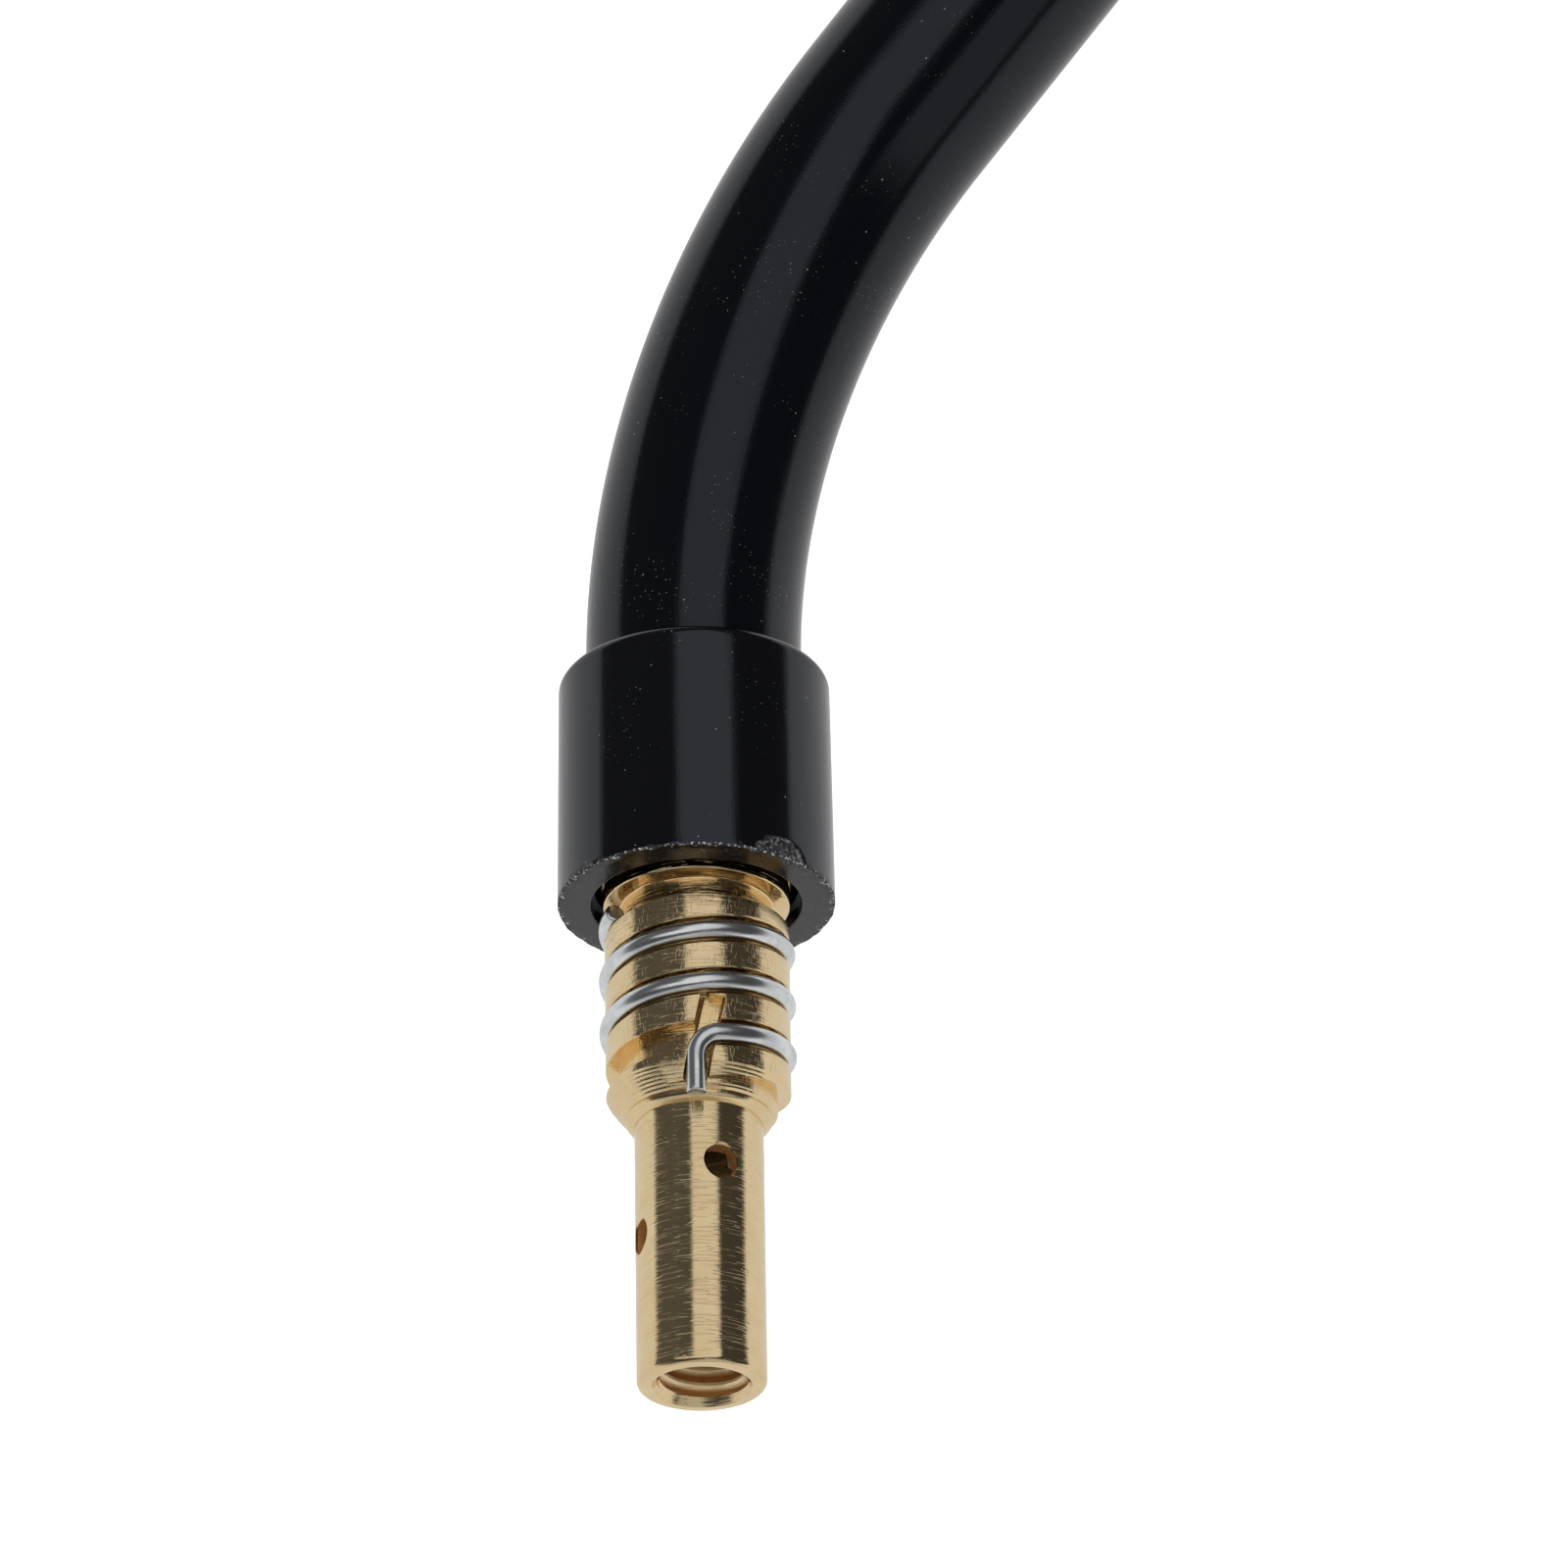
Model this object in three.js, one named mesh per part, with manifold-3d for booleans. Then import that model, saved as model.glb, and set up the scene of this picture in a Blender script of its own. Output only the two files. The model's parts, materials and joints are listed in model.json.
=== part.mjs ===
// Light, gas-cooled MIG welding torch, with its gas nozzle and contact tip taken off.
//
// The torch lies on its right side. +X runs back along the handle to the cable end, -Y is the trigger side,
// which the swan neck bends towards, and +Z is up. A station s on the neck is measured along the neck's centre
// line, backwards from the tip holder's front face. A handle station x is measured from the handle's front face.
import * as THREE from "three";
import { mergeVertices } from "three/addons/utils/BufferGeometryUtils.js";
import Module from "manifold-3d";

const wasm = await Module();
wasm.setup();

// ---- Driving dimensions, in millimetres and degrees ----
const FIT = 0.3; // clearance between pieces that seat in each other
const LOOSE = 0.1; // clearance between the spring wire and its groove
const ROUND = 28; // segments round a turned piece
const BEND_STEPS = 8; // straight stretches along the bend of a neck piece
const STEPS_PER_TURN = 20; // along the groove and the nozzle spring

// Centre line of the swan neck
const NOSE_STRAIGHT = 50;
const BEND_RADIUS = 46;
const BEND_ANGLE = 50;
const NECK_STRAIGHT = 45; // from the bend to the handle

// Tip holder
const TIP_BORE_RADIUS = 2.5; // minor radius of the M6 contact-tip thread
const TIP_THREAD_DEPTH = 16;
const TIP_TUBE_RADIUS = 4;
const TIP_TUBE_LENGTH = 17.4;
const SHOULDER_LENGTH = 2.2;
const SPRING_SEAT_RADIUS = 5.78;
const SPRING_SEAT_END = 30.8;
const RELIEF_WIDTH = 1.7; // annular groove behind the spring seat
const RELIEF_RADIUS = 4.7;
const FLANGE_RADIUS = 5.85;
const FLANGE_WIDTH = 1.2;
const STUB_RADIUS = 4; // rear thread
const STUB_LENGTH = 6.6;
const GAS_HOLE_RADIUS = 1.1;
const GAS_HOLES = [
  { station: 13.6, clock: 20 },
  { station: 9.5, clock: -70 },
];
const TIP_CLOCK = 124.4; // turn of the tip holder about the nose, from the outside of the bend

// Nozzle spring and the helical groove that it lies in
const WIRE_RADIUS = 0.55;
const SPRING_RADIUS = 5.55; // centre of the wire
const SPRING_PITCH = 3.55;
const SPRING_ORIGIN = 28.3; // station of the groove's centre at clock 0
const SPRING_REAR_CLOCK = 293;
const SPRING_FRONT_CLOCK = -708;
const GROOVE_WIDTH = 1.75;
const SLOT_WIDTH = 1.7;
const SLOT_END = 24;
const SLOT_TILT = 13;
const SLOT_STATION = 20.5; // where the tilted slot crosses clock 0
const TAIL_FRONT = 17.5;

// Insulating cap
const CAP_FRONT = 32.7;
const CAP_LENGTH = 15.6;
const CAP_FRONT_RADIUS = 8.7;
const CAP_REAR_RADIUS = 8.57;
const CAP_MOUTH_RADIUS = 6.6;
const CAP_MOUTH_DEPTH = 1.2;
const CAP_REAR_ROUND = 1.65;
const CAP_REAR_LIP = 0.25;

// Neck
const NOSE_RADIUS = 6.1;
const NOSE_LENGTH = 11;
const TUBE_RADIUS = 4;
const TUBE_BORE_RADIUS = 2.5;
const TUBE_SEAT_DEPTH = 3.6; // how far the tube enters the nose
const SHEATH_RADIUS = 6.83;
const LINER_RADIUS = 1.9;
const LINER_BORE_RADIUS = 1.1;

// Rear connector of the neck, inside the handle
const CONNECTOR_FRONT = 10;
const COLLAR_RADIUS = 7.5;
const COLLAR_LENGTH = 12;
const HEX_FLATS = 15;
const HEX_LENGTH = 9;
const BARREL_RADIUS = 6.5;
const BARREL_LENGTH = 5;
const NIPPLE_RADIUS = 5;
const NIPPLE_LENGTH = 16;
const TUBE_SOCKET_DEPTH = 16;

// Handle
const HANDLE_LENGTH = 190;
const WALL = 2.6;
const PART_LINE_GAP = 0.3; // between the two shells
const RING_LENGTH = 10;
const RING_WALL = 2.1;
const RING_END_WALL = 2;
const FRONT_HALF_HEIGHT = 13.5;
const FRONT_HALF_WIDTH = 14;
const PALM_TOP = 16.5;
const PALM_HALF_WIDTH = 17.6;
const BELLY_DEPTH = 21; // trigger side
const SHOULDER_STATION = 18;
const WAIST_FROM_REAR = 60;
const WAIST_TOP = 15;
const WAIST_DEPTH = 17;
const REAR_TOP = 14;
const REAR_DEPTH = 16;
const REAR_HALF_WIDTH = 15.5;
const SIDE_FLAT = 17; // the flat sides, which the torch lies on
const SECTION_POWER = 2.6; // 2 is an ellipse, and more is squarer
const SECTION_SIDES = 24;
const CABLE_HOLE_RADIUS = 9.5;

// Bulkheads across the handle: station of the front face and thickness
const NECK_BULKHEAD = { station: 2, thickness: 5 };
const COLLAR_BULKHEAD = { station: 13, thickness: 6 };
const HEX_BULKHEAD = { station: 24, thickness: 5 };

// Handle screws, put in from the left
const SCREW_RADIUS = 1.4;
const SCREW_HEAD_RADIUS = 2.8;
const SCREW_HEAD_HEIGHT = 2;
const SCREW_SOCKET_FLATS = 2.5;
const SCREW_SOCKET_DEPTH = 1.3;
const SCREW_SEAT = 8.5; // height of the head's seat above the part line
const SCREW_REACH = 11;
const BOSS_WALL = 1.2;

// Soft inlays in the flat sides
const PAD_FRONT = 46;
const PAD_LENGTH = 80;
const PAD_RADIUS = 8;
const PAD_THICKNESS = 1.2;
const PAD_SUNK = 0.1;
const PAD_MIDDLE = -2;

// Trigger. Its heights, and those of its spring and switch, are measured inwards from the belly line.
const BELLY_LINE = -BELLY_DEPTH;
const TRIGGER_FRONT = 24; // front end of its slot
const TRIGGER_SLOT_LENGTH = 62;
const TRIGGER_HALF_WIDTH = 6.3;
const TRIGGER_BAY_TOP = BELLY_LINE + 10.4;
const PIVOT_STATION = 30;
const PIVOT_HEIGHT = BELLY_LINE + 6.5;
const HUB_RADIUS = 3.4;
const PIN_RADIUS = 1.5;
const PIN_HALF_LENGTH = 10.5;
const TRIGGER_INNER_FACE = BELLY_LINE + 1.8;
const TRIGGER_OUTER_FACE = BELLY_LINE - 5.6;
const TRIGGER_DISH = 2.4; // depth of the finger hollow
const TRIGGER_END_GAP = 0.8; // between the trigger's rear end, which swings a little back, and its slot
const TONGUE_LENGTH = 2.4; // the stop that hooks behind the slot's rear edge
const TONGUE_THICKNESS = 1.7;

// Trigger spring
const RETURN_SPRING_STATION = 72;
const RETURN_SPRING_RADIUS = 2;
const RETURN_SPRING_WIRE = 0.3;
const RETURN_SPRING_TURNS = 5;
const RETURN_SPRING_POCKET = 2;
const SHELF_HEIGHT = BELLY_LINE + 12;
const SHELF_THICKNESS = 1.6;
const SHELF_HALF_LENGTH = 3.5;

// Switch
const SWITCH_STATION = 52;
const SWITCH_LENGTH = 12.8;
const SWITCH_HEIGHT = 7.2;
const SWITCH_HALF_WIDTH = 2.9;
const SWITCH_WALL = 0.8;
const SWITCH_FACE = BELLY_LINE + 3.5; // the face that the plunger comes out of
const SWITCH_CHAMBER_HEIGHT = 2.8;
const SWITCH_STUD_RADIUS = 0.85;
const SWITCH_STUD_PITCH = 6.5;
const SWITCH_STUD_BEHIND_FACE = 5.2;
const PLUNGER_OFFSET = -2;
const PLUNGER_HALF_LENGTH = 1.1;
const PLUNGER_HALF_WIDTH = 0.9;
const PLUNGER_FLANGE = 0.6;
const TERMINAL_THICKNESS = 0.5;
const TERMINAL_HALF_WIDTH = 1.2;
const TERMINAL_REACH = 2.7;
const BLADE_THICKNESS = 0.25;

// ---- Materials ----
const finish = (color, roughness, metalness) =>
  new THREE.MeshStandardMaterial({ color, roughness, metalness });
const brass = finish(0xb89a62, 0.32, 1);
const springSteel = finish(0x9a9c9e, 0.35, 1);
const blackSteel = finish(0x3a3b3d, 0.4, 1);
const capBlack = finish(0x141517, 0.3, 0);
const sheathBlack = finish(0x0c0d10, 0.2, 0);
const copper = finish(0xb46a42, 0.35, 1);
const linerSteel = finish(0x85888c, 0.45, 1);
const shellBlack = finish(0x1c1d1f, 0.55, 0);
const padGrey = finish(0x4b4d50, 0.8, 0);
const triggerRed = finish(0xa31d1a, 0.45, 0);
const switchBlack = finish(0x26272a, 0.5, 0);
const plungerWhite = finish(0xd8d4c8, 0.4, 0);
const tinned = finish(0xc3c4c0, 0.3, 1);

// ---- Solids ----
const radians = THREE.MathUtils.degToRad;

// A closed geometry as a solid that can be joined and cut.
function solid(geometry) {
  const bare = geometry.clone();
  bare.deleteAttribute("normal");
  bare.deleteAttribute("uv");
  const merged = mergeVertices(bare, 1e-4);
  return new wasm.Manifold(
    new wasm.Mesh({
      numProp: 3,
      vertProperties: new Float32Array(merged.attributes.position.array),
      triVerts: new Uint32Array(merged.index.array),
    }),
  );
}

function block([x0, x1], [y0, y1], [z0, z1]) {
  const box = new THREE.BoxGeometry(x1 - x0, y1 - y0, z1 - z0);
  box.translate((x0 + x1) / 2, (y0 + y1) / 2, (z0 + z1) / 2);
  return solid(box);
}

// A round bar across the torch, along Z.
function post(x, y, radius, [z0, z1], sides = 12) {
  const bar = new THREE.CylinderGeometry(radius, radius, z1 - z0, sides);
  bar.rotateX(Math.PI / 2);
  bar.translate(x, y, (z0 + z1) / 2);
  return solid(bar);
}

// A profile of [station, radius] points as a lathe geometry round the Y axis. It starts and ends on the axis,
// or else it is closed on itself.
function lathe(profile, sides) {
  const points = profile.map(([station, radius]) => new THREE.Vector2(radius, station));
  const ring = points[0].x > 0;
  if (ring) points.push(points[0].clone());
  if (THREE.ShapeUtils.area(points) < 0) points.reverse();
  return new THREE.LatheGeometry(points, sides);
}

// The same profile turned round the X axis.
function turned(profile, sides = ROUND) {
  const geometry = lathe(profile, sides);
  geometry.rotateZ(-Math.PI / 2);
  return solid(geometry);
}

// A round bar along X.
function rod([x0, x1], radius, sides = 24) {
  return turned([[x0, 0], [x0, radius], [x1, radius], [x1, 0]], sides);
}

// A hexagonal bar along X.
function hexBar(flats, [x0, x1]) {
  const bar = new THREE.CylinderGeometry(flats / Math.sqrt(3), flats / Math.sqrt(3), x1 - x0, 6);
  bar.rotateZ(-Math.PI / 2);
  bar.translate((x0 + x1) / 2, 0, 0);
  return solid(bar);
}

// An outline in the XY plane, as thick as the range in Z.
function plate(shape, [z0, z1], curveSegments = 6) {
  const geometry = new THREE.ExtrudeGeometry(shape, {
    depth: z1 - z0,
    bevelEnabled: false,
    curveSegments,
  });
  geometry.translate(0, 0, z0);
  return solid(geometry);
}

// A round wire along a curve.
function wire(curve, radius, steps, sides = 6) {
  const corners = Array.from({ length: sides }, (_, i) => {
    const turn = (2 * Math.PI * i) / sides;
    return new THREE.Vector2(radius * Math.cos(turn), radius * Math.sin(turn));
  });
  return solid(new THREE.ExtrudeGeometry(new THREE.Shape(corners), { steps, extrudePath: curve }));
}

const union = (first, ...others) => others.reduce((sum, next) => sum.add(next), first);
const cut = (first, ...tools) => tools.reduce((rest, tool) => rest.subtract(tool), first);

// ---- Neck line ----
const BEND_LENGTH = BEND_RADIUS * radians(BEND_ANGLE);
const BEND_END = NOSE_STRAIGHT + BEND_LENGTH;
const HANDLE_STATION = BEND_END + NECK_STRAIGHT; // s of the handle's front face

// The point and the backward direction of the neck line at a station, with the handle's front face at x = 0.
function neckLine(station) {
  const bentLeft = THREE.MathUtils.clamp((BEND_END - station) / BEND_RADIUS, 0, radians(BEND_ANGLE));
  const rear = Math.max(station, BEND_END) - HANDLE_STATION;
  const nose = Math.max(NOSE_STRAIGHT - station, 0);
  const direction = new THREE.Vector3(Math.cos(bentLeft), Math.sin(bentLeft), 0);
  const point = new THREE.Vector3(
    rear - BEND_RADIUS * Math.sin(bentLeft) - nose * direction.x,
    -BEND_RADIUS * (1 - Math.cos(bentLeft)) - nose * direction.y,
    0,
  );
  return { point, direction };
}

// Adds points to a profile wherever it runs along the bend.
function followBend(profile) {
  const bendStations = Array.from(
    { length: BEND_STEPS + 1 },
    (_, i) => NOSE_STRAIGHT + (BEND_LENGTH * i) / BEND_STEPS,
  );
  return profile.flatMap(([s0, r0], i) => {
    const [s1, r1] = profile[(i + 1) % profile.length];
    const between = bendStations.filter((s) => s > Math.min(s0, s1) && s < Math.max(s0, s1));
    if (s1 < s0) between.reverse();
    const onLine = (s) => [s, r0 + ((r1 - r0) * (s - s0)) / (s1 - s0)];
    return [[s0, r0], ...between.map(onLine)];
  });
}

// A turned profile bent along the neck line.
function bent(profile, sides) {
  const geometry = lathe(followBend(profile), sides);
  const position = geometry.attributes.position;
  for (let i = 0; i < position.count; i++) {
    const { point, direction } = neckLine(position.getY(i));
    const side = new THREE.Vector3(-direction.y, direction.x, 0);
    point.addScaledVector(side, position.getZ(i));
    position.setXYZ(i, point.x, point.y, position.getX(i));
  }
  return solid(geometry);
}

// ---- Pieces on the nose, in a frame whose X axis is the station s ----

// A point at a station, a radius and a clock angle.
function onNose(station, radius, clock) {
  const turn = radians(TIP_CLOCK + clock);
  return new THREE.Vector3(station, radius * Math.cos(turn), radius * Math.sin(turn));
}

// A box that is wound round the nose: length along the clock, width along the nose, height outwards.
function woundBar(clockRange, width, radii, stationAt) {
  const turns = Math.abs(clockRange[1] - clockRange[0]) / 360;
  const bar = new THREE.BoxGeometry(width, 1, 1, 1, 1, Math.ceil(turns * STEPS_PER_TURN));
  const position = bar.attributes.position;
  for (let i = 0; i < position.count; i++) {
    const clock = THREE.MathUtils.lerp(clockRange[0], clockRange[1], position.getZ(i) + 0.5);
    const radius = THREE.MathUtils.lerp(radii[0], radii[1], position.getY(i) + 0.5);
    const point = onNose(stationAt(clock) + position.getX(i), radius, clock);
    position.setXYZ(i, point.x, point.y, point.z);
  }
  return solid(bar);
}

const springStation = (clock) => SPRING_ORIGIN + (SPRING_PITCH * clock) / 360;
const FLANGE_FRONT = SPRING_SEAT_END + RELIEF_WIDTH;
const FLANGE_REAR = FLANGE_FRONT + FLANGE_WIDTH;
const STUB_END = FLANGE_REAR + STUB_LENGTH;
const SEAT_FRONT = TIP_TUBE_LENGTH + SHOULDER_LENGTH;
const GROOVE_FLOOR = SPRING_RADIUS - WIRE_RADIUS - LOOSE;

function gasHole({ station, clock }) {
  const reach = 3 * TIP_TUBE_RADIUS;
  const drill = new THREE.CylinderGeometry(GAS_HOLE_RADIUS, GAS_HOLE_RADIUS, reach, 12);
  drill.rotateX(radians(TIP_CLOCK + clock));
  drill.translate(station, 0, 0);
  return solid(drill);
}

// The slanted slot in which the spring's front end lies.
function tailSlot() {
  const front = TIP_TUBE_LENGTH - 1;
  const floor = GROOVE_FLOOR - LOOSE;
  const height = 2 * (SPRING_SEAT_RADIUS - floor);
  const slot = new THREE.BoxGeometry(SLOT_END - front, height, SLOT_WIDTH);
  slot.translate((SLOT_END + front) / 2 - SLOT_STATION, 0, 0);
  slot.rotateY(-radians(SLOT_TILT));
  slot.translate(SLOT_STATION, floor + height / 2, 0);
  slot.rotateX(radians(TIP_CLOCK));
  return solid(slot);
}

function tipHolder() {
  const shoulderDrop = SPRING_SEAT_RADIUS - TIP_TUBE_RADIUS;
  const shoulder = [0, 0.35, 0.7, 1].map((t) => [
    TIP_TUBE_LENGTH + SHOULDER_LENGTH * t,
    TIP_TUBE_RADIUS + shoulderDrop * Math.sin((t * Math.PI) / 2),
  ]);
  const body = turned([
    [0, TIP_BORE_RADIUS + 0.58],
    [0, TIP_TUBE_RADIUS - 0.25],
    [0.3, TIP_TUBE_RADIUS],
    ...shoulder,
    [SPRING_SEAT_END, SPRING_SEAT_RADIUS],
    [SPRING_SEAT_END, RELIEF_RADIUS],
    [FLANGE_FRONT, RELIEF_RADIUS],
    [FLANGE_FRONT, FLANGE_RADIUS],
    [FLANGE_REAR, FLANGE_RADIUS],
    [FLANGE_REAR, STUB_RADIUS],
    [STUB_END - 0.4, STUB_RADIUS],
    [STUB_END, STUB_RADIUS - 0.4],
    [STUB_END, LINER_RADIUS + FIT + LOOSE],
    [TIP_THREAD_DEPTH, LINER_RADIUS + FIT + LOOSE],
    [TIP_THREAD_DEPTH, TIP_BORE_RADIUS],
    [0.9, TIP_BORE_RADIUS],
  ]);
  const runOut = (360 * (TIP_TUBE_LENGTH - SPRING_ORIGIN)) / SPRING_PITCH;
  const runIn = (360 * (SPRING_SEAT_END + RELIEF_WIDTH / 2 - SPRING_ORIGIN)) / SPRING_PITCH;
  const groove = woundBar([runOut, runIn], GROOVE_WIDTH, [GROOVE_FLOOR, SPRING_SEAT_RADIUS + 1], springStation);
  return cut(body, groove, tailSlot(), ...GAS_HOLES.map(gasHole));
}

function nozzleSpring() {
  const points = [];
  const step = 360 / STEPS_PER_TURN;
  for (let clock = SPRING_REAR_CLOCK; clock >= SPRING_FRONT_CLOCK; clock -= step)
    points.push(onNose(springStation(clock), SPRING_RADIUS, clock));
  const tailClock = (station) =>
    THREE.MathUtils.radToDeg(
      (Math.tan(radians(SLOT_TILT)) * (station - SLOT_STATION)) / SPRING_SEAT_RADIUS,
    );
  const bendStation = springStation(SPRING_FRONT_CLOCK) - 0.9;
  points.push(onNose(bendStation + 0.55, SPRING_RADIUS, tailClock(bendStation) + 3.5));
  points.push(onNose(bendStation, SPRING_RADIUS - 0.02, tailClock(bendStation)));
  points.push(onNose((bendStation + TAIL_FRONT) / 2, SPRING_RADIUS - 0.05, tailClock(TAIL_FRONT + 1)));
  points.push(onNose(TAIL_FRONT, SPRING_RADIUS - 0.05, tailClock(TAIL_FRONT)));
  return wire(new THREE.CatmullRomCurve3(points), WIRE_RADIUS, Math.ceil(1.25 * points.length));
}

const CAP_REAR = CAP_FRONT + CAP_LENGTH;
const NOSE_FRONT = FLANGE_REAR + FIT;
const NOSE_REAR = NOSE_FRONT + NOSE_LENGTH;
const SHEATH_BORE = SHEATH_RADIUS + FIT;

function insulatingCap() {
  const roundStart = CAP_REAR - CAP_REAR_ROUND;
  const lip = SHEATH_BORE + CAP_REAR_LIP;
  const rearRound = [0, 20, 40, 60, 75, 90].map((degrees) => [
    roundStart + CAP_REAR_ROUND * Math.sin(radians(degrees)),
    lip + (CAP_REAR_RADIUS - lip) * Math.cos(radians(degrees)),
  ]);
  return turned([
    [CAP_FRONT, CAP_MOUTH_RADIUS],
    [CAP_FRONT, CAP_FRONT_RADIUS - 0.2],
    [CAP_FRONT + 0.2, CAP_FRONT_RADIUS],
    ...rearRound,
    [CAP_REAR, SHEATH_BORE],
    [NOSE_REAR, SHEATH_BORE],
    [NOSE_REAR, NOSE_RADIUS + FIT],
    [CAP_FRONT + CAP_MOUTH_DEPTH, NOSE_RADIUS + FIT],
    [CAP_FRONT + CAP_MOUTH_DEPTH, CAP_MOUTH_RADIUS],
  ]);
}

const TUBE_FRONT = NOSE_REAR - TUBE_SEAT_DEPTH + FIT;

function neckNose() {
  const stubSeat = STUB_END + FIT;
  const tubeSeat = NOSE_REAR - TUBE_SEAT_DEPTH;
  return turned([
    [NOSE_FRONT, STUB_RADIUS + FIT],
    [NOSE_FRONT, NOSE_RADIUS - 0.3],
    [NOSE_FRONT + 0.3, NOSE_RADIUS],
    [NOSE_REAR, NOSE_RADIUS],
    [NOSE_REAR, TUBE_RADIUS + FIT],
    [tubeSeat, TUBE_RADIUS + FIT],
    [tubeSeat, TUBE_BORE_RADIUS],
    [stubSeat, TUBE_BORE_RADIUS],
    [stubSeat, STUB_RADIUS + FIT],
  ]);
}

// ---- Bent pieces of the neck ----
const TUBE_SOCKET_END = CONNECTOR_FRONT + TUBE_SOCKET_DEPTH;
const CONNECTOR_REAR = CONNECTOR_FRONT + COLLAR_LENGTH + HEX_LENGTH + BARREL_LENGTH + NIPPLE_LENGTH;

function pipe(front, rear, radius, bore, sides) {
  return bent([[front, bore], [front, radius], [rear, radius], [rear, bore]], sides);
}

const neckSheath = () =>
  pipe(NOSE_REAR + FIT, HANDLE_STATION + CONNECTOR_FRONT - FIT, SHEATH_RADIUS, TUBE_RADIUS + FIT, 24);
const neckTube = () =>
  pipe(TUBE_FRONT, HANDLE_STATION + TUBE_SOCKET_END - FIT, TUBE_RADIUS, TUBE_BORE_RADIUS, 16);
const wireLiner = () =>
  pipe(TIP_THREAD_DEPTH + 0.6, HANDLE_STATION + CONNECTOR_REAR + 0.8, LINER_RADIUS, LINER_BORE_RADIUS, 8);

// ---- Connector ----
const HEX_FRONT = CONNECTOR_FRONT + COLLAR_LENGTH;
const HEX_REAR = HEX_FRONT + HEX_LENGTH;

function neckConnector() {
  const barrelRear = HEX_REAR + BARREL_LENGTH;
  const barb = NIPPLE_LENGTH / 4;
  const barbs = [0, 1, 2, 3].flatMap((i) => [
    [barrelRear + barb * i, NIPPLE_RADIUS],
    [barrelRear + barb * (i + 1), NIPPLE_RADIUS - 0.6],
  ]);
  const body = turned([
    [CONNECTOR_FRONT, TUBE_RADIUS + FIT],
    [CONNECTOR_FRONT, COLLAR_RADIUS - 0.4],
    [CONNECTOR_FRONT + 0.4, COLLAR_RADIUS],
    [HEX_FRONT, COLLAR_RADIUS],
    [HEX_FRONT, BARREL_RADIUS],
    [barrelRear, BARREL_RADIUS],
    ...barbs,
    [CONNECTOR_REAR, TUBE_BORE_RADIUS],
    [TUBE_SOCKET_END, TUBE_BORE_RADIUS],
    [TUBE_SOCKET_END, TUBE_RADIUS + FIT],
  ], 24);
  const hexagon = hexBar(HEX_FLATS, [HEX_FRONT - 0.2, HEX_REAR]);
  const bore = rod([HEX_FRONT - 1, HEX_REAR + 1], BARREL_RADIUS - 0.5);
  return body.add(hexagon.subtract(bore));
}

// ---- Handle ----
const FRONT_RING_REAR = RING_LENGTH;
const REAR_RING_FRONT = HANDLE_LENGTH - RING_LENGTH;
const SLOT_REAR = TRIGGER_FRONT + TRIGGER_SLOT_LENGTH;
const WAIST_STATION = HANDLE_LENGTH - WAIST_FROM_REAR;

// A size that eases from one [station, value] to the next.
function eased(stations, x) {
  const last = stations.length - 1;
  if (x <= stations[0][0]) return stations[0][1];
  if (x >= stations[last][0]) return stations[last][1];
  const i = stations.findIndex(([station]) => station > x);
  const [x0, v0] = stations[i - 1];
  const [x1, v1] = stations[i];
  return v0 + (v1 - v0) * THREE.MathUtils.smoothstep(x, x0, x1);
}

function handleSection(x) {
  const top = eased([
    [0, FRONT_HALF_HEIGHT],
    [SHOULDER_STATION, PALM_TOP],
    [SLOT_REAR, PALM_TOP],
    [WAIST_STATION, WAIST_TOP],
    [HANDLE_LENGTH, REAR_TOP],
  ], x);
  const depth = eased([
    [0, FRONT_HALF_HEIGHT],
    [PIVOT_STATION, BELLY_DEPTH],
    [SLOT_REAR + TONGUE_LENGTH, BELLY_DEPTH],
    [WAIST_STATION, WAIST_DEPTH],
    [HANDLE_LENGTH, REAR_DEPTH],
  ], x);
  const halfWidth = eased([
    [0, FRONT_HALF_WIDTH],
    [SHOULDER_STATION, PALM_HALF_WIDTH],
    [WAIST_STATION, PALM_HALF_WIDTH],
    [HANDLE_LENGTH, REAR_HALF_WIDTH],
  ], x);
  return { top, depth, halfWidth };
}

// Height of the inside of the trigger-side wall, off the middle by z.
function hollowFloor(x, z) {
  const { top, depth, halfWidth } = handleSection(x);
  const share = 1 - (z / (halfWidth - WALL)) ** SECTION_POWER;
  return (top - depth) / 2 - ((top + depth) / 2 - WALL) * share ** (1 / SECTION_POWER);
}

// The handle's rounded-square body between two stations, with its skin moved inwards by the inset.
function handleBody([x0, x1], inset, steps = 1) {
  const body = new THREE.CylinderGeometry(1, 1, 1, SECTION_SIDES, steps);
  const position = body.attributes.position;
  const squarer = (c) => Math.sign(c) * Math.abs(c) ** (2 / SECTION_POWER);
  for (let i = 0; i < position.count; i++) {
    const x = THREE.MathUtils.lerp(x0, x1, position.getY(i) + 0.5);
    const { top, depth, halfWidth } = handleSection(x);
    const across = squarer(position.getX(i)) * (halfWidth - inset);
    const up = squarer(position.getZ(i)) * ((top + depth) / 2 - inset) + (top - depth) / 2;
    position.setXYZ(i, x, up, across);
  }
  return solid(body);
}

const CABLE_HEIGHT = (REAR_TOP - REAR_DEPTH) / 2;
const SPIGOT_INSET = RING_WALL + FIT;
const SPIGOT_OVERLAP = 2;

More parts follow.
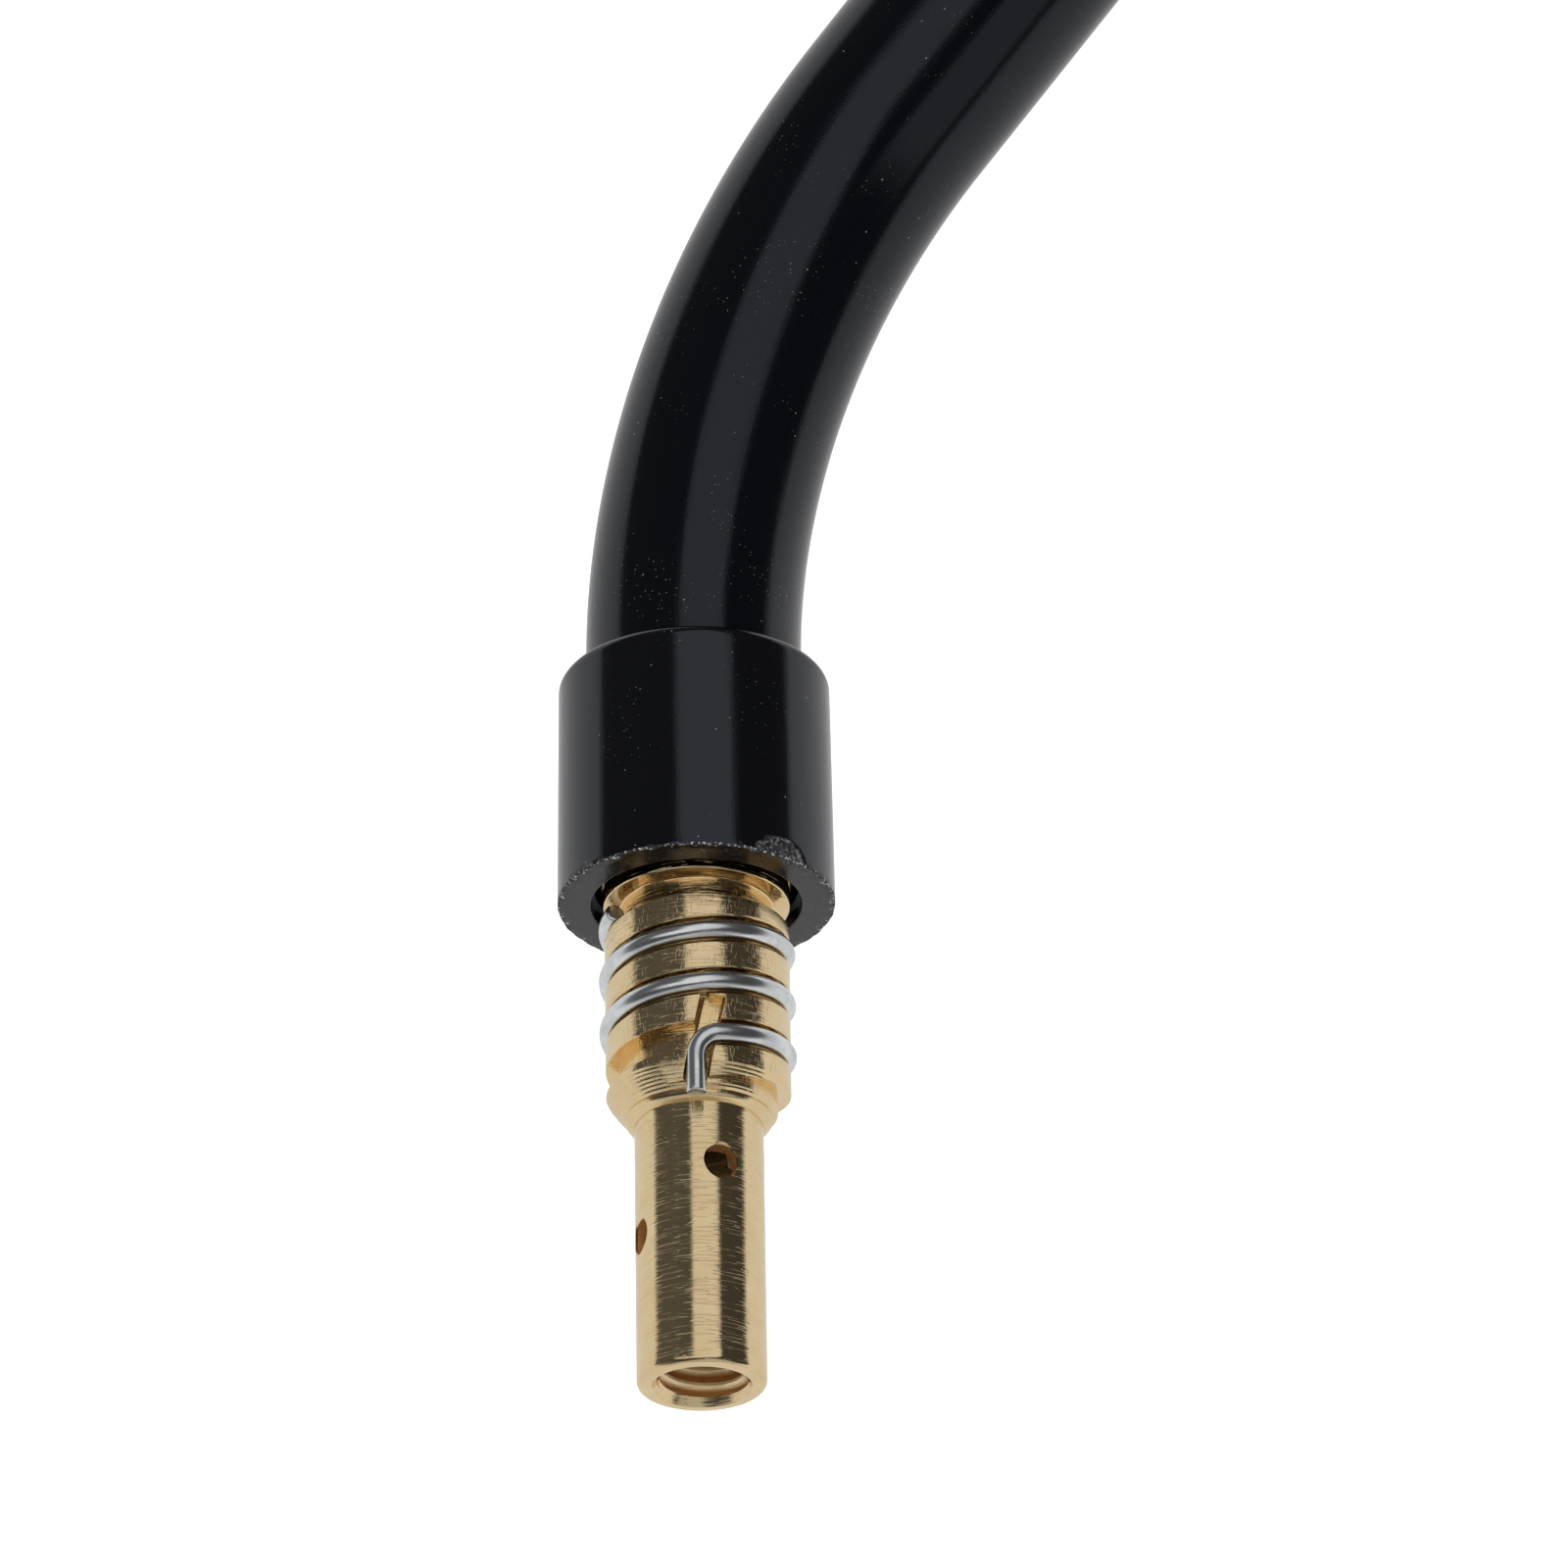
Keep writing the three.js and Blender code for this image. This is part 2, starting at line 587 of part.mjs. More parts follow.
// The skin of the whole handle, with a smaller spigot under each end ring.
function handleSkin() {
  const span = [FRONT_RING_REAR + FIT, REAR_RING_FRONT - FIT];
  const flats = block([-10, HANDLE_LENGTH + 10], [-60, 60], [-SIDE_FLAT, SIDE_FLAT]);
  const grip = handleBody(span, 0, 12).intersect(flats);
  const frontSpigot = handleBody([FIT, span[0] + SPIGOT_OVERLAP], SPIGOT_INSET, 2);
  const rearSpigot = handleBody([span[1] - SPIGOT_OVERLAP, HANDLE_LENGTH - FIT], SPIGOT_INSET, 2);
  return union(grip, frontSpigot, rearSpigot);
}

function handleHollow() {
  const span = [FRONT_RING_REAR + WALL, REAR_RING_FRONT - WALL];
  return handleBody(span, WALL, 10).add(
    handleBody([-5, HANDLE_LENGTH + 5], SPIGOT_INSET + WALL - FIT, 8),
  );
}

function bulkhead({ station, thickness }) {
  return handleBody([station, station + thickness], WALL, 1);
}

const SCREWS = [
  [SHOULDER_STATION - 2, PALM_TOP - 5.1],
  [TRIGGER_FRONT + TRIGGER_SLOT_LENGTH * 0.68, PALM_TOP - 5.5],
  [SLOT_REAR + 11, BELLY_LINE + 6.9],
  [WAIST_STATION + 4, WAIST_TOP - 5],
  [REAR_RING_FRONT - 12, -REAR_DEPTH + 5.2],
];

const SWITCH_FRONT = SWITCH_STATION - SWITCH_LENGTH / 2;
const SWITCH_REAR = SWITCH_STATION + SWITCH_LENGTH / 2;
const SWITCH_BACK = SWITCH_FACE + SWITCH_HEIGHT;
const STUDS = [-0.5, 0.5].map((side) => [
  SWITCH_STATION + side * SWITCH_STUD_PITCH,
  SWITCH_FACE + SWITCH_STUD_BEHIND_FACE,
]);

// A stadium outline that runs along the handle.
function stadium(front, length, middle, radius) {
  const shape = new THREE.Shape();
  shape.absarc(front + radius, middle, radius, Math.PI / 2, (3 * Math.PI) / 2);
  shape.absarc(front + length - radius, middle, radius, -Math.PI / 2, Math.PI / 2);
  return shape;
}

// side is 1 for the left shell, above the part line, and -1 for the right shell, below it.
const spanOf = (side, near, far) => (side > 0 ? [near, far] : [-far, -near]);

function padRecess(side) {
  const outline = stadium(PAD_FRONT - FIT, PAD_LENGTH + 2 * FIT, PAD_MIDDLE, PAD_RADIUS + FIT);
  const floor = SIDE_FLAT - PAD_SUNK - PAD_THICKNESS - FIT;
  return plate(outline, spanOf(side, floor, SIDE_FLAT + 5));
}

function gripPad(side) {
  const outline = stadium(PAD_FRONT, PAD_LENGTH, PAD_MIDDLE, PAD_RADIUS);
  const face = SIDE_FLAT - PAD_SUNK;
  return plate(outline, spanOf(side, face - PAD_THICKNESS, face));
}

function handleShell(side) {
  const partLine = PART_LINE_GAP / 2;
  const deep = SIDE_FLAT - PAD_THICKNESS - PAD_SUNK - 1;
  const bossRadius = side > 0 ? SCREW_HEAD_RADIUS + FIT + BOSS_WALL : SCREW_RADIUS + FIT + BOSS_WALL;
  const bosses = SCREWS.map(([x, y]) => post(x, y, bossRadius, spanOf(side, partLine, deep)));
  const pivotBoss = post(
    PIVOT_STATION,
    PIVOT_HEIGHT,
    PIN_RADIUS + FIT + BOSS_WALL,
    spanOf(side, TRIGGER_HALF_WIDTH + FIT, deep),
  );
  const shelf = block(
    [RETURN_SPRING_STATION - SHELF_HALF_LENGTH, RETURN_SPRING_STATION + SHELF_HALF_LENGTH],
    [SHELF_HEIGHT, SHELF_HEIGHT + SHELF_THICKNESS],
    spanOf(side, partLine, deep),
  );
  const switchRest = block(
    [SWITCH_FRONT + 1, SWITCH_REAR - 1],
    [SWITCH_FACE + 1, SWITCH_BACK - 1],
    spanOf(side, SWITCH_HALF_WIDTH + FIT, deep),
  );
  const bulkheads = [NECK_BULKHEAD, COLLAR_BULKHEAD, HEX_BULKHEAD].map(bulkhead);
  const neckClearance = turned([
    [-5, 0],
    [-5, SHEATH_BORE],
    [CONNECTOR_FRONT - 1, SHEATH_BORE],
    [CONNECTOR_FRONT - 1, COLLAR_RADIUS + FIT],
    [HEX_FRONT + 1, COLLAR_RADIUS + FIT],
    [HEX_FRONT + 1, BARREL_RADIUS + FIT],
    [CONNECTOR_REAR, BARREL_RADIUS + FIT],
    [CONNECTOR_REAR, 0],
  ], 28);
  const hexClearance = hexBar(HEX_FLATS + 2 * FIT, [HEX_FRONT - FIT, HEX_REAR + FIT]);
  const bay = block(
    [TRIGGER_FRONT, SLOT_REAR],
    [BELLY_LINE - 20, TRIGGER_BAY_TOP],
    [-TRIGGER_HALF_WIDTH - FIT, TRIGGER_HALF_WIDTH + FIT],
  );
  const structure = cut(union(cut(handleSkin(), handleHollow()), ...bulkheads), bay);
  const fittings = union(pivotBoss, shelf, switchRest, ...bosses);
  const inside = cut(fittings.intersect(handleBody([FIT, HANDLE_LENGTH - FIT], WALL / 2, 10)), neckClearance);
  const studs = STUDS.map(([x, y]) => post(x, y, SWITCH_STUD_RADIUS, [-deep, SWITCH_HALF_WIDTH - 0.5], 8));
  const half = block([-10, HANDLE_LENGTH + 10], [-60, 60], spanOf(side, partLine, 60));
  const screwHoles = SCREWS.map(([x, y]) => post(x, y, SCREW_RADIUS + FIT, [-SCREW_REACH - 1, SCREW_SEAT + 1], 12));
  const headRecesses = SCREWS.map(([x, y]) => post(x, y, SCREW_HEAD_RADIUS + FIT, [SCREW_SEAT, 60]));
  const pinHole = post(PIVOT_STATION, PIVOT_HEIGHT, PIN_RADIUS + FIT, [-PIN_HALF_LENGTH - FIT, PIN_HALF_LENGTH + FIT], 12);
  const shell = cut(
    cut(structure, neckClearance, hexClearance).add(inside).intersect(half),
    padRecess(side),
    pinHole,
    ...screwHoles,
    ...headRecesses,
  );
  return side > 0 ? shell : union(shell, ...studs);
}

function frontRing() {
  const body = handleBody([-RING_END_WALL, FRONT_RING_REAR], 0, 4);
  const socket = handleBody([0, FRONT_RING_REAR + 1], RING_WALL, 4);
  const hole = rod([-RING_END_WALL - 1, 1], SHEATH_BORE, ROUND);
  return cut(body, socket, hole);
}

function rearRing() {
  const body = handleBody([REAR_RING_FRONT, HANDLE_LENGTH + RING_END_WALL], 0, 3);
  const socket = handleBody([REAR_RING_FRONT - 1, HANDLE_LENGTH], RING_WALL, 3);
  const span = [HANDLE_LENGTH - 1, HANDLE_LENGTH + RING_END_WALL + 1];
  const hole = rod(span, CABLE_HOLE_RADIUS, ROUND).translate([0, CABLE_HEIGHT, 0]);
  return cut(body, socket, hole);
}

function handleScrew([x, y]) {
  const top = SCREW_SEAT + FIT + SCREW_HEAD_HEIGHT;
  const head = post(x, y, SCREW_HEAD_RADIUS, [SCREW_SEAT + FIT, top]);
  const shank = post(x, y, SCREW_RADIUS, [-SCREW_REACH, SCREW_SEAT + FIT + 0.5], 12);
  const socket = post(x, y, SCREW_SOCKET_FLATS / Math.sqrt(3), [top - SCREW_SOCKET_DEPTH, top + 1], 6);
  return cut(head.add(shank), socket);
}

// ---- Trigger ----
function triggerOutline() {
  const front = TRIGGER_FRONT + FIT;
  const rear = SLOT_REAR - TRIGGER_END_GAP;
  const shelfHeight = TRIGGER_INNER_FACE;
  const tongueUnder = hollowFloor(SLOT_REAR, TRIGGER_HALF_WIDTH) + FIT + LOOSE;
  const tongueOver = tongueUnder + TONGUE_THICKNESS;
  const shape = new THREE.Shape();
  shape.moveTo(rear, tongueUnder);
  shape.lineTo(SLOT_REAR + TONGUE_LENGTH, tongueUnder);
  shape.lineTo(SLOT_REAR + TONGUE_LENGTH, tongueOver);
  shape.lineTo(rear - 4, tongueOver);
  shape.lineTo(rear - 4, shelfHeight);
  shape.lineTo(PIVOT_STATION + 2.4 * HUB_RADIUS, shelfHeight);
  shape.quadraticCurveTo(
    PIVOT_STATION + HUB_RADIUS,
    shelfHeight,
    PIVOT_STATION + HUB_RADIUS,
    PIVOT_HEIGHT,
  );
  shape.absarc(PIVOT_STATION, PIVOT_HEIGHT, HUB_RADIUS, 0, Math.PI * 0.85);
  shape.lineTo(front, PIVOT_HEIGHT - HUB_RADIUS);
  shape.lineTo(front, BELLY_LINE);
  shape.quadraticCurveTo(front + 2, TRIGGER_OUTER_FACE, front + 11, TRIGGER_OUTER_FACE);
  const middle = (front + 11 + rear - 7) / 2;
  shape.quadraticCurveTo(middle, TRIGGER_OUTER_FACE + 2 * TRIGGER_DISH, rear - 7, TRIGGER_OUTER_FACE);
  shape.quadraticCurveTo(rear - 1, TRIGGER_OUTER_FACE - 0.4, rear, BELLY_LINE - 0.6);
  return shape;
}

function trigger() {
  const body = plate(triggerOutline(), [-TRIGGER_HALF_WIDTH, TRIGGER_HALF_WIDTH], 10);
  const bore = post(PIVOT_STATION, PIVOT_HEIGHT, PIN_RADIUS + FIT, [-20, 20], 16);
  const pocket = new THREE.CylinderGeometry(
    RETURN_SPRING_RADIUS + RETURN_SPRING_WIRE + FIT,
    RETURN_SPRING_RADIUS + RETURN_SPRING_WIRE + FIT,
    2 * RETURN_SPRING_POCKET,
    16,
  );
  pocket.translate(RETURN_SPRING_STATION, TRIGGER_INNER_FACE, 0);
  return cut(body, bore, solid(pocket));
}

const triggerPin = () =>
  post(PIVOT_STATION, PIVOT_HEIGHT, PIN_RADIUS, [-PIN_HALF_LENGTH, PIN_HALF_LENGTH], 16);

function triggerSpring() {
  const bottom = TRIGGER_INNER_FACE - RETURN_SPRING_POCKET + FIT + RETURN_SPRING_WIRE;
  const top = SHELF_HEIGHT - FIT - RETURN_SPRING_WIRE;
  const points = [];
  const count = RETURN_SPRING_TURNS * 10;
  for (let i = 0; i <= count; i++) {
    const turn = (2 * Math.PI * i * RETURN_SPRING_TURNS) / count;
    points.push(
      new THREE.Vector3(
        RETURN_SPRING_STATION + RETURN_SPRING_RADIUS * Math.cos(turn),
        THREE.MathUtils.lerp(bottom, top, i / count),
        RETURN_SPRING_RADIUS * Math.sin(turn),
      ),
    );
  }
  return wire(new THREE.CatmullRomCurve3(points), RETURN_SPRING_WIRE, count, 5);
}

// ---- Switch ----
const LID_GAP = FIT;
const CASE_BOTTOM = -SWITCH_HALF_WIDTH + SWITCH_WALL + LID_GAP;
const CHAMBER = {
  x: [SWITCH_FRONT + SWITCH_WALL, SWITCH_REAR - SWITCH_WALL],
  y: [SWITCH_FACE + SWITCH_WALL, SWITCH_FACE + SWITCH_WALL + SWITCH_CHAMBER_HEIGHT],
  z: [CASE_BOTTOM, SWITCH_HALF_WIDTH - SWITCH_WALL],
};
const CHAMBER_MIDDLE = (CHAMBER.z[0] + CHAMBER.z[1]) / 2;
const PLUNGER_STATION = SWITCH_STATION + PLUNGER_OFFSET;
const TERMINALS = [CHAMBER.x[0] + 0.9, CHAMBER.x[1] - 0.9];
const studHoles = (range) => STUDS.map(([x, y]) => post(x, y, SWITCH_STUD_RADIUS + FIT, range, 8));
const aroundMiddle = (half) => [CHAMBER_MIDDLE - half, CHAMBER_MIDDLE + half];

function switchCase() {
  const body = block([SWITCH_FRONT, SWITCH_REAR], [SWITCH_FACE, SWITCH_BACK], [CASE_BOTTOM, SWITCH_HALF_WIDTH]);
  const chamber = block(CHAMBER.x, CHAMBER.y, [CHAMBER.z[0] - 1, CHAMBER.z[1]]);
  const plungerHole = block(
    [PLUNGER_STATION - PLUNGER_HALF_LENGTH - 0.2, PLUNGER_STATION + PLUNGER_HALF_LENGTH + 0.2],
    [SWITCH_FACE - 1, SWITCH_FACE + 1],
    aroundMiddle(PLUNGER_HALF_WIDTH + 0.2),
  );
  const terminalSlots = TERMINALS.map((x) =>
    block(
      [x - TERMINAL_THICKNESS / 2 - 0.2, x + TERMINAL_THICKNESS / 2 + 0.2],
      [CHAMBER.y[1] - 1, SWITCH_BACK + 1],
      aroundMiddle(TERMINAL_HALF_WIDTH + 0.2),
    ),
  );
  return cut(body, chamber, plungerHole, ...terminalSlots, ...studHoles([-10, 10]));
}

function switchLid() {
  const lid = block(
    [SWITCH_FRONT, SWITCH_REAR],
    [SWITCH_FACE, SWITCH_BACK],
    [-SWITCH_HALF_WIDTH, -SWITCH_HALF_WIDTH + SWITCH_WALL],
  );
  return cut(lid, ...studHoles([-10, 10]));
}

const PLUNGER_TIP = TRIGGER_INNER_FACE + FIT;
const FLANGE_INSIDE = CHAMBER.y[0] + 0.1;

function switchPlunger() {
  const stem = block(
    [PLUNGER_STATION - PLUNGER_HALF_LENGTH, PLUNGER_STATION + PLUNGER_HALF_LENGTH],
    [PLUNGER_TIP, FLANGE_INSIDE + 0.3],
    aroundMiddle(PLUNGER_HALF_WIDTH),
  );
  const flange = block(
    [PLUNGER_STATION - PLUNGER_HALF_LENGTH - PLUNGER_FLANGE, PLUNGER_STATION + PLUNGER_HALF_LENGTH + PLUNGER_FLANGE],
    [FLANGE_INSIDE, FLANGE_INSIDE + 0.7],
    aroundMiddle(PLUNGER_HALF_WIDTH + 0.3),
  );
  return stem.add(flange);
}

const BLADE_HEIGHT = FLANGE_INSIDE + 0.7 + 0.2;

function switchBlade() {
  const flat = BLADE_HEIGHT + BLADE_THICKNESS;
  return block([TERMINALS[0] - 0.4, TERMINALS[1] + 0.4], [BLADE_HEIGHT, flat], aroundMiddle(TERMINAL_HALF_WIDTH));
}

// foot is the height of the terminal's inner end.
function switchTerminal(x, foot) {
  return block(
    [x - TERMINAL_THICKNESS / 2, x + TERMINAL_THICKNESS / 2],
    [foot, SWITCH_BACK + TERMINAL_REACH],
    aroundMiddle(TERMINAL_HALF_WIDTH),
  );
}

// ---- Assembly ----
const torch = new THREE.Group();
const nose = new THREE.Group();
nose.position.copy(neckLine(0).point);
nose.rotation.z = radians(BEND_ANGLE);
torch.add(nose);

function addPiece(group, name, body, material) {
  const { vertProperties, triVerts } = body.getMesh();
  const geometry = new THREE.BufferGeometry();
  geometry.setAttribute("position", new THREE.BufferAttribute(vertProperties, 3));
  geometry.setIndex(new THREE.BufferAttribute(triVerts, 1));
  const mesh = new THREE.Mesh(geometry, material);
  mesh.name = name;
  group.add(mesh);
}

addPiece(nose, "tip_holder", tipHolder(), brass);
addPiece(nose, "nozzle_spring", nozzleSpring(), springSteel);
addPiece(nose, "insulating_cap", insulatingCap(), capBlack);
addPiece(nose, "neck_nose", neckNose(), brass);
addPiece(torch, "neck_sheath", neckSheath(), sheathBlack);
addPiece(torch, "neck_tube", neckTube(), copper);
addPiece(torch, "wire_liner", wireLiner(), linerSteel);
addPiece(torch, "neck_connector", neckConnector(), brass);
addPiece(torch, "handle_shell_left", handleShell(1), shellBlack);
addPiece(torch, "handle_shell_right", handleShell(-1), shellBlack);
addPiece(torch, "front_ring", frontRing(), shellBlack);
addPiece(torch, "rear_ring", rearRing(), shellBlack);
addPiece(torch, "grip_pad_left", gripPad(1), padGrey);
addPiece(torch, "grip_pad_right", gripPad(-1), padGrey);
SCREWS.forEach((place, i) => addPiece(torch, `handle_screw_${i + 1}`, handleScrew(place), blackSteel));
addPiece(torch, "trigger", trigger(), triggerRed);
addPiece(torch, "trigger_pin", triggerPin(), springSteel);
addPiece(torch, "trigger_spring", triggerSpring(), springSteel);
addPiece(torch, "switch_case", switchCase(), switchBlack);
addPiece(torch, "switch_lid", switchLid(), switchBlack);
addPiece(torch, "switch_plunger", switchPlunger(), plungerWhite);
addPiece(torch, "switch_blade", switchBlade(), brass);
addPiece(torch, "switch_contact_terminal", switchTerminal(TERMINALS[0], BLADE_HEIGHT + 1), tinned);
addPiece(torch, "switch_common_terminal", switchTerminal(TERMINALS[1], BLADE_HEIGHT + 0.55), tinned);

// The origin lies under the middle of the torch, on the surface that it rests on.
const extent = new THREE.Box3().setFromObject(torch, true);
const middle = extent.getCenter(new THREE.Vector3());
torch.position.set(-middle.x, -middle.y, -extent.min.z);

const part = new THREE.Group();
part.add(torch);
export default part;
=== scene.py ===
"""Light MIG welding torch: fine pieces, materials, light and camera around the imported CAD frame.

Pieces are built in millimetres in a local frame and then placed in the row frame, in metres. On the neck the
local frame is unbent: x is the station s, measured back from the tip holder's front face along the neck's
centre line, and y and z are across it. On the handle x is measured back from the handle's front face.
"""

import json
import math

import bmesh
import bpy
import numpy as np
from mathutils import Matrix, Vector

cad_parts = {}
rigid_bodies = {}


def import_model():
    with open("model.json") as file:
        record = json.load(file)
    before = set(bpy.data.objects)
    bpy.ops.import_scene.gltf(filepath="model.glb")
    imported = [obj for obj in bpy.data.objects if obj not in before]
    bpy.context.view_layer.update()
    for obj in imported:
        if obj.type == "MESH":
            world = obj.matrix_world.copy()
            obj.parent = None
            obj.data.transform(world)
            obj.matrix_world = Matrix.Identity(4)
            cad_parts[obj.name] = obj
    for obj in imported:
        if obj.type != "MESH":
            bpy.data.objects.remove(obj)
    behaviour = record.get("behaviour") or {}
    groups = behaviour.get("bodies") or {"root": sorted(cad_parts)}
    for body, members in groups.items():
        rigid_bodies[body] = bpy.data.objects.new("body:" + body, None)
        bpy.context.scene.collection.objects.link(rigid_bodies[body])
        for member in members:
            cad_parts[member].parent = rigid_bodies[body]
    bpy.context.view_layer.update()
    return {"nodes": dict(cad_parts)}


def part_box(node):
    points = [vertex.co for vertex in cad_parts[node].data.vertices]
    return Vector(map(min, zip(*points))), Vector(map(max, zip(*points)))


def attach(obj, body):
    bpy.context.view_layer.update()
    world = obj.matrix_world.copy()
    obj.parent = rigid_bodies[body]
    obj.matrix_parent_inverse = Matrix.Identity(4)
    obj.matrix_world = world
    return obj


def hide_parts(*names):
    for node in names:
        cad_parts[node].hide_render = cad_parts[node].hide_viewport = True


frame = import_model()

MM = 0.001  # one millimetre, in the row frame's metres
FIT = 0.3  # clearance between pieces that fit together

# ---- Neck line, as in the CAD model ----
NOSE_STRAIGHT = 50
BEND_RADIUS = 46
BEND = math.radians(50)
NECK_STRAIGHT = 45
BEND_END = NOSE_STRAIGHT + BEND_RADIUS * BEND
HANDLE_STATION = BEND_END + NECK_STRAIGHT
RING_END_WALL = 2

ring_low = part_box("front_ring")[0]
connector_low, connector_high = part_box("neck_connector")
HEAD = (connector_low + connector_high) / 2
HEAD.x = ring_low.x + RING_END_WALL * MM


def on_neck(local):
    """Row points of neck points (station, side, up)."""
    station, side, up = local.T
    bent = np.clip((BEND_END - station) / BEND_RADIUS, 0, BEND)
    rear = np.maximum(station, BEND_END) - HANDLE_STATION
    nose = np.maximum(NOSE_STRAIGHT - station, 0)
    along_x, along_y = np.cos(bent), np.sin(bent)
    x = rear - BEND_RADIUS * along_y - nose * along_x - side * along_y
    y = -BEND_RADIUS * (1 - along_x) - nose * along_y + side * along_x
    return np.array(HEAD) + MM * np.stack([x, y, up], 1)


def on_handle(local):
    """Row points of handle points (x, y, z)."""
    return np.array(HEAD) + MM * local


# ---- Mesh building ----
def body(name, points, faces):
    """An object with that mesh, its faces turned outwards."""
    mesh = bpy.data.meshes.new(name)
    mesh.from_pydata(np.asarray(points, float).tolist(), [], faces)
    shape = bmesh.new()
    shape.from_mesh(mesh)
    if shape.calc_volume(signed=True) < 0:
        bmesh.ops.reverse_faces(shape, faces=shape.faces[:])
    shape.to_mesh(mesh)
    shape.free()
    made = bpy.data.objects.new(name, mesh)
    bpy.context.scene.collection.objects.link(made)
    return made


def skin(name, rings, loop=False):
    """A closed body through rings of points.

    loop joins the last ring to the first. Otherwise both ends are capped.
    """
    rings = np.asarray(rings, float)
    count, around, _ = rings.shape
    index = np.arange(count * around).reshape(count, around)
    faces = []
    for i in range(count if loop else count - 1):
        here, there = index[i], index[(i + 1) % count]
        faces += np.stack([here, np.roll(here, -1), np.roll(there, -1), there], 1).tolist()
    if not loop:
        faces += [index[0][::-1].tolist(), index[-1].tolist()]
    return body(name, rings.reshape(-1, 3), faces)


def turned(name, profile, sides=160):
    """A closed profile of (station, radius) turned round the X axis."""
    turn = np.linspace(0, 2 * math.pi, sides, endpoint=False)
    rings = [[(s, r * math.cos(t), r * math.sin(t)) for t in turn] for s, r in profile]
    return skin(name, rings, loop=True)


def rod(name, profile, sides=48):
    """A solid bar round the X axis through (station, radius) points."""
    turn = np.linspace(0, 2 * math.pi, sides, endpoint=False)
    return skin(name, [[(s, r * math.cos(t), r * math.sin(t)) for t in turn] for s, r in profile])


def post(name, x, y, profile, sides=48):
    """A solid bar along Z through (height, radius) points."""
    turn = np.linspace(0, 2 * math.pi, sides, endpoint=False)
    return skin(name, [[(x + r * math.cos(t), y + r * math.sin(t), z) for t in turn] for z, r in profile])


def block(name, xs, ys, zs):
    """A box between two values on each axis."""
    corners = [(x, y) for x, y in ((xs[0], ys[0]), (xs[1], ys[0]), (xs[1], ys[1]), (xs[0], ys[1]))]
    return skin(name, [[(x, y, z) for x, y in corners] for z in zs])


def carve(made, *tools, operation="DIFFERENCE"):
    """Cuts the tools out of a body, or joins or intersects it with them, and deletes them."""
    for tool in tools:
        step = made.modifiers.new("carve", "BOOLEAN")
        step.operation = operation
        step.solver = "MANIFOLD"
        step.object = tool
    bpy.context.view_layer.update()
    evaluated = made.evaluated_get(bpy.context.evaluated_depsgraph_get())
    mesh = bpy.data.meshes.new_from_object(evaluated)
    made.modifiers.clear()
    made.data = mesh
    for tool in tools:
        bpy.data.objects.remove(tool)
    return made


def filleted(corners, steps=5):
    """A closed outline with its corners rounded. A corner is (u, v) or (u, v, radius)."""
    outline = []
    count = len(corners)
    for i, corner in enumerate(corners):
        here = np.array(corner[:2], float)
        radius = corner[2] if len(corner) > 2 else 0
        if not radius:
            outline.append(tuple(here))
            continue
        before = np.array(corners[i - 1][:2], float) - here
        after = np.array(corners[(i + 1) % count][:2], float) - here
        before_length, after_length = np.linalg.norm(before), np.linalg.norm(after)
        before, after = before / before_length, after / after_length
        half = math.acos(np.clip(before @ after, -1, 1)) / 2
        reach = min(radius / math.tan(half), 0.49 * before_length, 0.49 * after_length)
        radius = reach * math.tan(half)
        centre = here + (before + after) / np.linalg.norm(before + after) * radius / math.sin(half)
        start, end = here + before * reach - centre, here + after * reach - centre
        sweep = math.acos(np.clip(start @ end / radius**2, -1, 1))
        for t in np.linspace(0, 1, steps + 1):
            spoke = (math.sin((1 - t) * sweep) * start + math.sin(t * sweep) * end) / math.sin(sweep)
            outline.append(tuple(centre + spoke))
    return outline


def divided(profile, longest):
    """The closed profile with points added so that no side is longer."""
    out = []
    for (s0, r0), (s1, r1) in zip(profile, profile[1:] + profile[:1]):
        count = max(1, math.ceil(math.hypot(s1 - s0, r1 - r0) / longest))
        out += [(s0 + (s1 - s0) * i / count, r0 + (r1 - r0) * i / count) for i in range(count)]
    return out


def vectors_of(layer, name):
    """The vectors of a mesh layer, one in each row."""
    flat = np.empty(len(layer) * 3)
    layer.foreach_get(name, flat)
    return flat.reshape(-1, 3)


def place(made, where, sharp=30):
    """Moves a body from its local frame to the row frame, and keeps the local place of each point."""
    mesh = made.data
    local = vectors_of(mesh.vertices, "co")
    kept = mesh.attributes.new("local", "FLOAT_VECTOR", "POINT")
    kept.data.foreach_set("vector", local.astype(np.float32).ravel())
    mesh.vertices.foreach_set("co", where(local).astype(np.float32).ravel())
    mesh.shade_smooth()
    mesh.set_sharp_from_angle(angle=math.radians(sharp))
    mesh.update()
    return made


def finished(made, material, rides_on, node):
    """Gives a placed piece its material, parents it to the body it rides on, and hides the CAD node it
    stands in for.
    """
    if not any(made.data.materials):
        made.data.materials.clear()
        made.data.materials.append(material)
    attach(made, rides_on)
    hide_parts(node)
    return made


# ---- Insulating cap, and the chip in its front edge ----
TIP_CLOCK = math.radians(124.4)
CAP_FRONT = 32.7
CAP_REAR = 48.3
CAP_FRONT_RADIUS = 8.7
CAP_REAR_RADIUS = 8.57
CAP_MOUTH_RADIUS = 6.6
CHIP_CLOCK = 38
CHIP_HALF_WIDTH = 2.0
CHIP_LENGTH = 1.3
chip_turn = TIP_CLOCK + math.radians(CHIP_CLOCK)
CHIP_CENTRE = (CAP_FRONT, CAP_FRONT_RADIUS * math.cos(chip_turn), CAP_FRONT_RADIUS * math.sin(chip_turn))


